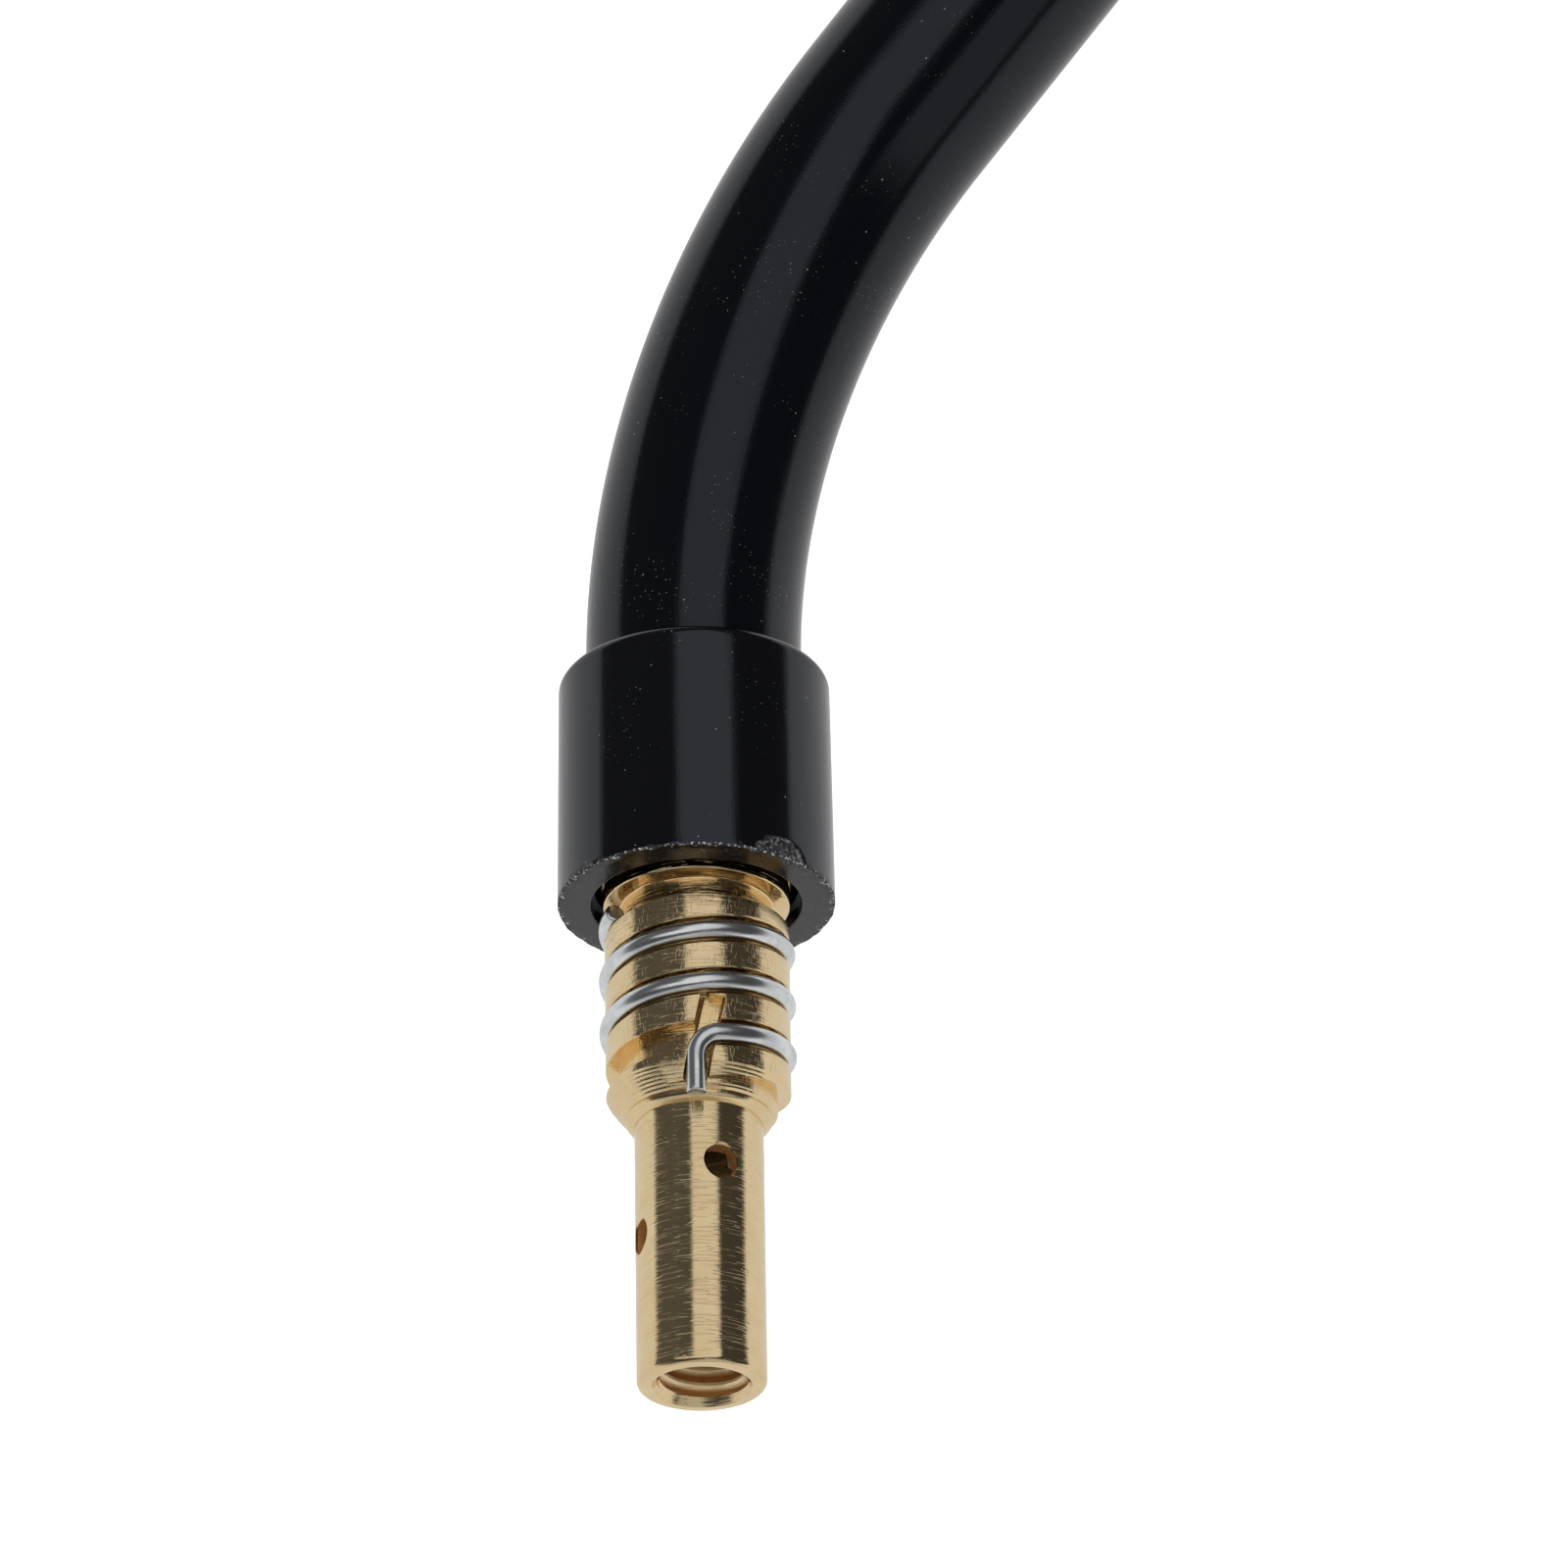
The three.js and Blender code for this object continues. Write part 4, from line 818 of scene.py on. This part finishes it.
def paint_cap(mesh):
    """Gloss skin, dull front face, and burred edge and chip."""
    station, radius, _ = cap_places(vectors_of(mesh.attributes["local"].data, "vector"))
    for face in mesh.polygons:
        corners = list(face.vertices)
        behind_front = station[corners].mean() - CAP_FRONT
        inside_skin = CAP_FRONT_RADIUS - radius[corners].mean()
        if behind_front < 0.02 and inside_skin > 0.14:
            face.material_index = 1
        elif behind_front < 0.14 and inside_skin < 0.3:
            face.material_index = 2


# ---- Neck ----
def neck_sheath():
    front, rear = NOSE_REAR + FIT, HANDLE_STATION + 9.7
    profile = [(front, 4.3), (front, SHEATH_RADIUS), (rear, SHEATH_RADIUS), (rear, 4.3)]
    made = turned("neck_sheath_bent", divided(profile, 0.9), 128)
    place(made, on_neck, 40)
    return finished(made, sheath_gloss, "handle", "neck_sheath")


def neck_nose():
    profile = filleted([
        (FLANGE_REAR + FIT, 4.3, 0.2),
        (FLANGE_REAR + FIT, NOSE_RADIUS, 0.3),
        (NOSE_REAR, NOSE_RADIUS, 0.2),
        (NOSE_REAR, 4.3),
    ])
    made = turned("neck_nose_turned", divided(profile, 1), 96)
    place(made, on_neck, 35)
    return finished(made, inner_brass, "handle", "neck_nose")


tip_holder()
nozzle_spring()
insulating_cap()
neck_sheath()

# ---- Handle ----
HANDLE_LENGTH = 190
SLOT_FRONT = 24
SLOT_REAR = 86
WAIST_STATION = 130
SIDE_FLAT = 17
WALL = 2.6
RING_LENGTH = 10
RING_WALL = 2.1
SPIGOT_INSET = RING_WALL + FIT
REAR_RING_FRONT = HANDLE_LENGTH - RING_LENGTH
SECTION_POWER = 2.6
TRIGGER_HALF_WIDTH = 6.3
BELLY_LINE = -21


def eased(stations, x):
    """A size that eases from one (station, value) to the next."""
    for (x0, v0), (x1, v1) in zip(stations, stations[1:]):
        if x <= x1:
            t = min(max((x - x0) / (x1 - x0), 0), 1)
            return v0 + (v1 - v0) * t * t * (3 - 2 * t)
    return stations[-1][1]


def section(x):
    """Height of the back, depth of the belly and half the width of the handle."""
    top = eased([(0, 13.5), (18, 16.48), (SLOT_REAR, 16.48), (WAIST_STATION, 15), (HANDLE_LENGTH, 14)], x)
    depth = eased([(0, 13.5), (30, 21), (SLOT_REAR + 2.4, 21), (WAIST_STATION, 17), (HANDLE_LENGTH, 16)], x)
    half_width = eased([(0, 14), (18, 17.6), (WAIST_STATION, 17.6), (HANDLE_LENGTH, 15.5)], x)
    return top, depth, half_width


def squarer(wave):
    """A sine or cosine that gives a rounded square in place of a circle."""
    return np.sign(wave) * np.abs(wave) ** (2 / SECTION_POWER)


def handle_ring(x, inset, sides):
    """Points round the handle's rounded-square section, eased into the flat sides."""
    top, depth, half_width = section(x)
    turn = np.linspace(0, 2 * math.pi, sides, endpoint=False)
    across = squarer(np.cos(turn)) * (half_width - inset)
    up = squarer(np.sin(turn)) * ((top + depth) / 2 - inset) + (top - depth) / 2
    soft, limit = 0.12, SIDE_FLAT - inset
    across = np.sign(across) * (limit - soft * np.logaddexp(0, (limit - np.abs(across)) / soft))
    return np.stack([np.full(sides, x), up, across], 1)


def handle_body(name, stations, sides=192):
    """The handle's body through (x, inset) stations."""
    return skin(name, [handle_ring(x, inset, sides) for x, inset in stations])


def spaced(x0, x1, inset, step):
    """Stations of one inset, no further apart than about a step."""
    return [(x, inset) for x in np.linspace(x0, x1, max(2, int(abs(x1 - x0) / step) + 1))]


def slice_of_handle(name, zs):
    """A block that takes in the whole handle between two heights."""
    return block(name, (-10, HANDLE_LENGTH + 10), (-60, 60), zs)


FAR = 60
PART_GAP = 0.12  # from each shell to the part line
SCREWS = [(16, 11.4), (66.16, 11), (97, -14.1), (134, 10), (168, -10.8)]
SCREW_SEAT = 8.5
SCREW_RADIUS = 1.4
HEAD_RADIUS = 2.8
HEAD_HEIGHT = 2
PAD_FRONT = 46
PAD_LENGTH = 80
PAD_MIDDLE = -2
PAD_RADIUS = 8
PAD_FACE = 16.9
PAD_THICKNESS = 1.2


def stadium(grow, sides=32):
    """Outline of a grip pad, grown outwards."""
    radius = PAD_RADIUS + grow
    front, rear = PAD_FRONT + PAD_RADIUS, PAD_FRONT + PAD_LENGTH - PAD_RADIUS
    turn = np.linspace(math.pi / 2, 3 * math.pi / 2, sides)
    left = np.stack([front + radius * np.cos(turn), PAD_MIDDLE + radius * np.sin(turn)], 1)
    right = np.stack([rear - radius * np.cos(turn), PAD_MIDDLE - radius * np.sin(turn)], 1)
    return np.vstack([left, right])


def stadium_body(name, levels, side):
    """A body through (height, grow) levels, on one side of the part line."""
    return skin(name, [[(x, y, side * z) for x, y in stadium(grow)] for z, grow in levels])


def rounded_rectangle(xs, zs, radius, grow):
    """Outline of a rectangle with round corners, grown outwards."""
    corners = [(xs[0] - grow, zs[0] - grow), (xs[1] + grow, zs[0] - grow),
               (xs[1] + grow, zs[1] + grow), (xs[0] - grow, zs[1] + grow)]
    return filleted([(x, z, radius + grow) for x, z in corners], 5)


def trigger_bay(name):
    """The opening in the belly that the trigger swings in, with a chamfered edge."""
    half = TRIGGER_HALF_WIDTH + FIT
    rings = []
    for above_belly, grow in ((10.4, 0), (1.15, 0), (0.2, 0.6), (-20, 0.6)):
        outline = rounded_rectangle((SLOT_FRONT, SLOT_REAR), (-half, half), 1.2, grow)
        rings.append([(x, BELLY_LINE + above_belly, z) for x, z in outline])
    return skin(name, rings)


def part_line_lip(made, side):
    """The left shell's inner lip, which laps into the right shell and closes the part line."""
    if side > 0:
        lip = handle_body("lip", spaced(RING_LENGTH + 0.6, REAR_RING_FRONT - 0.6, 1.5, 1), 96)
        carve(lip, slice_of_handle("below", (-FAR, -0.8)), slice_of_handle("above", (0.6, FAR)))
        carve(made, lip, operation="UNION")
    else:
        room = handle_body("room", spaced(RING_LENGTH + 0.4, REAR_RING_FRONT - 0.4, 1.35, 1), 96)
        carve(room, slice_of_handle("below", (-FAR, -0.95)))
        carve(made, room)


def screw_seats(made):
    """The left shell's screw pillars, kept inside its wall, and the sunk bores through them."""
    for i, (x, y) in enumerate(SCREWS):
        seat = post(f"seat_{i}", x, y, [(SCREW_SEAT, 4.3), (0.15, 4.3)])
        within = handle_body("within", spaced(RING_LENGTH + 1, REAR_RING_FRONT - 1, WALL / 2, 4), 96)
        carve(seat, within, operation="INTERSECT")
        carve(made, seat, operation="UNION")
    narrow, wide = SCREW_RADIUS + FIT, HEAD_RADIUS + FIT
    bore = [(-1, narrow), (SCREW_SEAT, narrow), (SCREW_SEAT, wide), (FAR, wide)]
    carve(made, *[post(f"bore_{i}", x, y, bore) for i, (x, y) in enumerate(SCREWS)])


def handle_shell(side):
    """One half of the handle: side 1 is the left shell, which holds the screws, and -1 the right."""
    name = "left" if side > 0 else "right"
    node = f"handle_shell_{name}"
    grip = [RING_LENGTH + FIT, REAR_RING_FRONT - FIT]
    outer = [(FIT, SPIGOT_INSET), (grip[0], SPIGOT_INSET), (grip[0], 0.45), (grip[0] + 0.45, 0)]
    outer += spaced(grip[0] + 1, grip[1] - 1, 0, 0.8)
    outer += [(grip[1] - 0.45, 0), (grip[1], 0.45), (grip[1], SPIGOT_INSET)]
    outer.append((HANDLE_LENGTH - FIT, SPIGOT_INSET))
    made = handle_body(f"{node}_moulded", outer)
    deep = SPIGOT_INSET + WALL - FIT
    room = [RING_LENGTH + WALL, REAR_RING_FRONT - WALL]
    inner = [(-5, deep), (room[0], deep)]
    inner += spaced(room[0] + 0.5, room[1] - 0.5, WALL, 2)
    inner += [(room[1], deep), (HANDLE_LENGTH + 5, deep)]
    hollow = handle_body("hollow", inner, 96)
    recess_floor = PAD_FACE - PAD_THICKNESS - FIT
    recess_levels = [(recess_floor, FIT), (SIDE_FLAT - 0.35, FIT)]
    recess_levels += [(SIDE_FLAT + 0.4, FIT + 0.75), (FAR, FIT + 0.75)]
    recess = stadium_body("recess", recess_levels, side)
    other_half = (-FAR, PART_GAP) if side > 0 else (-PART_GAP, FAR)
    carve(made, slice_of_handle("half", other_half))
    part_line_lip(made, side)
    carve(made, hollow, recess, trigger_bay("bay"))
    if side > 0:
        screw_seats(made)
    place(made, on_handle, 32)
    return finished(made, shell_plastic, "handle", node)


def end_ring(front):
    """The ring that holds the shells together at one end, ribbed for grip."""
    node = "front_ring" if front else "rear_ring"
    if front:
        face, mouth, out = -RING_END_WALL, RING_LENGTH, 1
        hole_radius, hole_height = SHEATH_RADIUS + FIT, 0
    else:
        face, mouth, out = HANDLE_LENGTH + RING_END_WALL, REAR_RING_FRONT, -1
        hole_radius, hole_height = 9.5, -1
    rounding = [(0, 1.5), (0.15, 0.95), (0.5, 0.45), (1, 0.15), (1.5, 0)]
    groove = [(0, 0), (0.25, 0.35), (0.85, 0.35), (1.1, 0)]
    stations = [(face + out * along, inset) for along, inset in rounding]
    for i in range(3):
        start = face + out * (3.2 + 2.1 * i)
        stations += [(start + out * along, inset) for along, inset in groove]
    stations += [(mouth - out * 0.4, 0), (mouth, 0.3)]
    made = handle_body(f"{node}_moulded", stations)
    socket_end = 0 if front else HANDLE_LENGTH
    socket = handle_body("socket", [(mouth + out, RING_WALL), (socket_end, RING_WALL)], 96)
    hole_steps = [(-1, 1.2), (0, 0.4), (0.4, 0), (4, 0)]
    hole = rod("hole", [(face + out * along, hole_radius + grow) for along, grow in hole_steps], 96)
    hole.data.transform(Matrix.Translation((0, hole_height, 0)))
    carve(made, socket, hole)
    place(made, on_handle, 32)
    return finished(made, ring_plastic, "handle", node)


def grip_pad(side):
    """A soft inlay with bowed grooves across it."""
    name = "left" if side > 0 else "right"
    bottom = PAD_FACE - PAD_THICKNESS
    levels = [(bottom, 0), (PAD_FACE - 0.3, 0), (PAD_FACE - 0.09, -0.09), (PAD_FACE, -0.3)]
    made = stadium_body(f"grip_pad_{name}_ribbed", levels, side)
    reach, bow, pitch = 5.4, 2.1, 3.2
    height = side * (PAD_FACE + 0.12)
    turn = np.linspace(0, 2 * math.pi, 12, endpoint=False)
    grooves = []
    for i, x in enumerate(np.arange(PAD_FRONT + 6, PAD_FRONT + PAD_LENGTH - 5, pitch)):
        rings = []
        for y in np.linspace(-reach, reach, 9):
            middle = x + bow * (y / reach) ** 2
            rings.append([(middle + 0.55 * math.cos(t), PAD_MIDDLE + y, height + 0.62 * math.sin(t))
                          for t in turn])
        grooves.append(skin(f"groove_{i}", rings))
    carve(made, *grooves)
    place(made, on_handle, 35)
    return finished(made, pad_rubber, "handle", f"grip_pad_{name}")


def handle_screw(i, x, y):
    """A screw with a low round head and a hexagon socket."""
    seat = SCREW_SEAT + FIT
    top = seat + HEAD_HEIGHT
    profile = [
        (-11, 0.9),
        (-10.4, SCREW_RADIUS),
        (seat, SCREW_RADIUS),
        (seat, 2.62),
        (seat + 0.2, HEAD_RADIUS),
        (top - 0.55, HEAD_RADIUS),
        (top - 0.2, 2.62),
        (top - 0.03, 2.25),
        (top, 1.8),
    ]
    made = post(f"handle_screw_{i}_turned", x, y, profile)
    socket_steps = [(-1.3, 0.6), (-1.1, 1.44), (-0.12, 1.44), (0.2, 1.8)]
    carve(made, post("socket", x, y, [(top + rise, radius) for rise, radius in socket_steps], 6))
    place(made, on_handle, 32)
    return finished(made, black_oxide, "handle", f"handle_screw_{i}")


# ---- Trigger ----
PIVOT = (30, BELLY_LINE + 6.5)
HUB_RADIUS = 3.4
TRIGGER_INNER = BELLY_LINE + 1.8
TRIGGER_OUTER = BELLY_LINE - 5.6
TRIGGER_DISH = 2.4
SPRING_STATION = 72
SPRING_POCKET_RADIUS = 2.6


def quadratic(start, control, end, steps):
    """Points of a curve towards a control point and on to the end, without its start."""
    t = np.linspace(0, 1, steps + 1)[1:, None]
    start, control, end = (np.array(p, float) for p in (start, control, end))
    return ((1 - t) ** 2 * start + 2 * t * (1 - t) * control + t**2 * end).tolist()


def trigger_outline():
    """Side outline: the stop tongue at the rear, the inner face, the hub and the dished outer face."""
    front, rear = SLOT_FRONT + FIT, SLOT_REAR - 0.8
    tongue, tongue_end, tongue_thickness = BELLY_LINE + WALL + 0.95, SLOT_REAR + 2.4, 1.7
    hub_rear = PIVOT[0] + HUB_RADIUS
    outline = [
        (rear, tongue),
        (tongue_end, tongue),
        (tongue_end, tongue + tongue_thickness),
        (rear - 4, tongue + tongue_thickness),
        (rear - 4, TRIGGER_INNER),
        (PIVOT[0] + 2.4 * HUB_RADIUS, TRIGGER_INNER),
    ]
    outline += quadratic(outline[-1], (hub_rear, TRIGGER_INNER), (hub_rear, PIVOT[1]), 8)
    outline += [(PIVOT[0] + HUB_RADIUS * math.cos(t), PIVOT[1] + HUB_RADIUS * math.sin(t))
                for t in np.linspace(0, math.pi * 0.85, 20)[1:]]
    outline += [(front, PIVOT[1] - HUB_RADIUS), (front, BELLY_LINE)]
    outline += quadratic(outline[-1], (front + 2, TRIGGER_OUTER), (front + 11, TRIGGER_OUTER), 14)
    dish = ((front + 11 + rear - 7) / 2, TRIGGER_OUTER + 2 * TRIGGER_DISH)
    outline += quadratic(outline[-1], dish, (rear - 7, TRIGGER_OUTER), 36)
    outline += quadratic(outline[-1], (rear - 1, TRIGGER_OUTER - 0.4), (rear, BELLY_LINE - 0.6), 12)
    return outline


def trigger():
    """The moulded lever, with rounded edges, finger grooves, its pin's bore and its spring's pocket."""
    outline = trigger_outline()
    cheeks = (-TRIGGER_HALF_WIDTH, TRIGGER_HALF_WIDTH)
    made = skin("trigger_moulded", [[(x, y, z) for x, y in outline] for z in cheeks])
    edges = made.modifiers.new("edges", "BEVEL")
    edges.width = 1.1
    edges.segments = 5
    edges.limit_method = "ANGLE"
    edges.angle_limit = math.radians(60)
    edges.use_clamp_overlap = True
    carve(made)
    outer_face = [point for point in outline if point[1] < BELLY_LINE]
    turn = np.linspace(0, 2 * math.pi, 16, endpoint=False)
    grooves = []
    for i in range(7):
        x = 45.6 + 3.6 * i
        y = min(outer_face, key=lambda point: abs(point[0] - x))[1] - 0.22
        circle = [(x + 0.6 * math.cos(t), y + 0.62 * math.sin(t)) for t in turn]
        grooves.append(skin(f"groove_{i}", [[(u, v, z) for u, v in circle] for z in (-8, 8)]))
    bore = post("bore", *PIVOT, [(-9, 1.8), (9, 1.8)])
    turn = np.linspace(0, 2 * math.pi, 40, endpoint=False)
    circle = [(SPRING_STATION + SPRING_POCKET_RADIUS * math.cos(t), SPRING_POCKET_RADIUS * math.sin(t))
              for t in turn]
    depths = (TRIGGER_INNER - 2, TRIGGER_INNER + 2)
    pocket = skin("pocket", [[(u, y, w) for u, w in circle] for y in depths])
    carve(made, bore, pocket, *grooves)
    place(made, on_handle, 35)
    return finished(made, trigger_plastic, "trigger", "trigger")


neck_nose()
for side in (1, -1):
    handle_shell(side)
    grip_pad(side)
end_ring(True)
end_ring(False)
for i, (x, y) in enumerate(SCREWS):
    handle_screw(i + 1, x, y)
trigger()

# ---- CAD nodes that stay ----
row_copper = drawn_metal("copper_tube", (0.75, 0.42, 0.28), (0.55, 0.28, 0.17), 0.3, True)
row_steel = drawn_metal("inner_steel", (0.6, 0.61, 0.63), (0.4, 0.41, 0.43), 0.35, True)
row_brass = drawn_metal("inner_brass", (0.72, 0.54, 0.28), (0.55, 0.38, 0.18), 0.28, True)
row_tin = drawn_metal("tinned_terminal", (0.75, 0.76, 0.74), (0.55, 0.56, 0.55), 0.25, True)
row_black = moulded("switch_plastic", (0.03, 0.03, 0.033), 0.45, 0.3, 0.01, False)
row_white = moulded("plunger_plastic", (0.7, 0.67, 0.58), 0.4, 0.3, 0.005, False)
CAD_FINISHES = {
    "neck_tube": row_copper,
    "wire_liner": row_steel,
    "neck_connector": row_brass,
    "trigger_pin": row_steel,
    "trigger_spring": row_steel,
    "switch_case": row_black,
    "switch_lid": row_black,
    "switch_plunger": row_white,
    "switch_blade": row_brass,
    "switch_contact_terminal": row_tin,
    "switch_common_terminal": row_tin,
}
for name, finish in CAD_FINISHES.items():
    for slot in frame["nodes"][name].material_slots:
        slot.material = finish

# ---- Camera: angles in degrees, and the aim in millimetres right of the tip and above it ----
VIEW_AZIMUTH = 7.42
VIEW_ELEVATION = 47.59
VIEW_ROLL = -56.8
VIEW_DISTANCE = 560
SENSOR = 36
LENS = 211.05
AIM_RIGHT = 4.99
AIM_UP = 36.75

turn = (Matrix.Rotation(math.radians(VIEW_AZIMUTH), 3, "Z")
        @ Matrix.Rotation(math.radians(90 - VIEW_ELEVATION), 3, "X")
        @ Matrix.Rotation(math.radians(VIEW_ROLL), 3, "Z"))
right, up, back = turn.col[0], turn.col[1], turn.col[2]
tip = Vector(on_neck(np.array([[0.0, 0.0, 0.0]]))[0])
camera_data = bpy.data.cameras.new("camera")
camera_data.sensor_width = SENSOR
camera_data.lens = LENS
camera = bpy.data.objects.new("camera", camera_data)
eye = tip + MM * (AIM_RIGHT * right + AIM_UP * up + VIEW_DISTANCE * back)
camera.matrix_world = Matrix.Translation(eye) @ turn.to_4x4()
bpy.context.scene.collection.objects.link(camera)
bpy.context.scene.camera = camera
camera_data.clip_start = 0.01

# ---- Floor, light and world, in metres ----
FLOOR_REACH = 4
FLOOR_DROP = 0.0002
LIGHT_DISTANCE = 0.7
LIGHT_SIZE = (0.6, 0.5)
LIGHT_DIRECTION = (0.42, -0.33, 0.845)


def floor():
    """A plain pale floor just under the torch. It is left out of reflections."""
    corners = [(-1, -1), (1, -1), (1, 1), (-1, 1)]
    made = body("floor", [(FLOOR_REACH * x, FLOOR_REACH * y, 0) for x, y in corners], [[0, 1, 2, 3]])
    s = Shader("floor")
    s.set(Base_Color=(0.8, 0.8, 0.8, 1), Roughness=0.9, Emission_Color=(1, 1, 1, 1), Emission_Strength=0.6)
    made.data.materials.append(s.material)
    made.location.z = -FLOOR_DROP
    made.visible_glossy = False


def top_light():
    """A large soft light overhead. The world draws its mirror image, so it is left out of reflections."""
    light = bpy.data.lights.new("top_light", "AREA")
    light.shape = "RECTANGLE"
    light.size, light.size_y = LIGHT_SIZE
    light.energy = 4
    lamp = bpy.data.objects.new("top_light", light)
    out = Vector(LIGHT_DIRECTION)
    facing = out.to_track_quat("Z", "Y").to_matrix().to_4x4()
    lamp.matrix_world = Matrix.Translation(LIGHT_DISTANCE * out) @ facing
    lamp.visible_glossy = False
    lamp.visible_camera = False
    bpy.context.scene.collection.objects.link(lamp)


def world():
    """A white studio. In mirror reflections it is dark towards the photographer, but for two soft lamps."""
    made = bpy.data.worlds.new("studio")
    bpy.context.scene.world = made
    made.use_nodes = True
    made.node_tree.nodes.clear()
    node = Nodes(made.node_tree).node
    where = node("ShaderNodeTexCoord").outputs["Generated"]

    def beyond(direction, limit, softness):
        """1 where the view direction reaches further along that direction than the limit."""
        dot = node("ShaderNodeVectorMath", {0: where, 1: direction}, operation="DOT_PRODUCT")
        reach = dot.outputs["Value"]
        inputs = {"Value": reach, "From Min": limit - softness, "From Max": limit + softness}
        return node("ShaderNodeMapRange", inputs).outputs["Result"]

    def both(first, second):
        """1 where both are 1."""
        return node("ShaderNodeMath", {0: first, 1: second}, operation="MULTIPLY").outputs[0]

    def blend(share, first, second):
        """The first level where the share is 0, and the second where it is 1."""
        inputs = {"Value": share, "To Min": first, "To Max": second}
        return node("ShaderNodeMapRange", inputs).outputs["Result"]

    dark_side = beyond((0.4306, -0.3649, 0.8255), 0.06, 0.05)
    dark = blend(beyond((0, 1, 0), 0.1, 0.2), 0.05, 0.085)
    strip = both(beyond((0.15, -1, 0), -0.2, 0.02), beyond((-0.249, -0.25, -0.936), -0.951, 0.012))
    strip = both(strip, beyond((0.463, -0.123, 0.878), 0.75, 0.025))
    lamp = both(beyond((-1, 0, 0), -0.1, 0.08), beyond((0, -1, 0), 0.3, 0.1))
    lamp = both(lamp, both(beyond((0, 0, 1), -0.22, 0.04), beyond((0, 0, -1), -0.47, 0.04)))
    white_walls, strip_level, lamp_level, fill_level, backdrop_level = 0.72, 0.7, 0.48, 0.8, 1.0
    seen = blend(dark_side, white_walls, dark)
    seen = blend(strip, seen, strip_level)
    seen = blend(lamp, seen, lamp_level)
    path = node("ShaderNodeLightPath")
    strength = blend(path.outputs["Is Glossy Ray"], fill_level, seen)
    strength = blend(path.outputs["Is Camera Ray"], strength, backdrop_level)
    background = node("ShaderNodeBackground", {"Color": (1, 1, 1, 1), "Strength": strength})
    node("ShaderNodeOutputWorld", {"Surface": background.outputs[0]})


floor()
top_light()
world()
bpy.context.scene.view_settings.view_transform = "Standard"
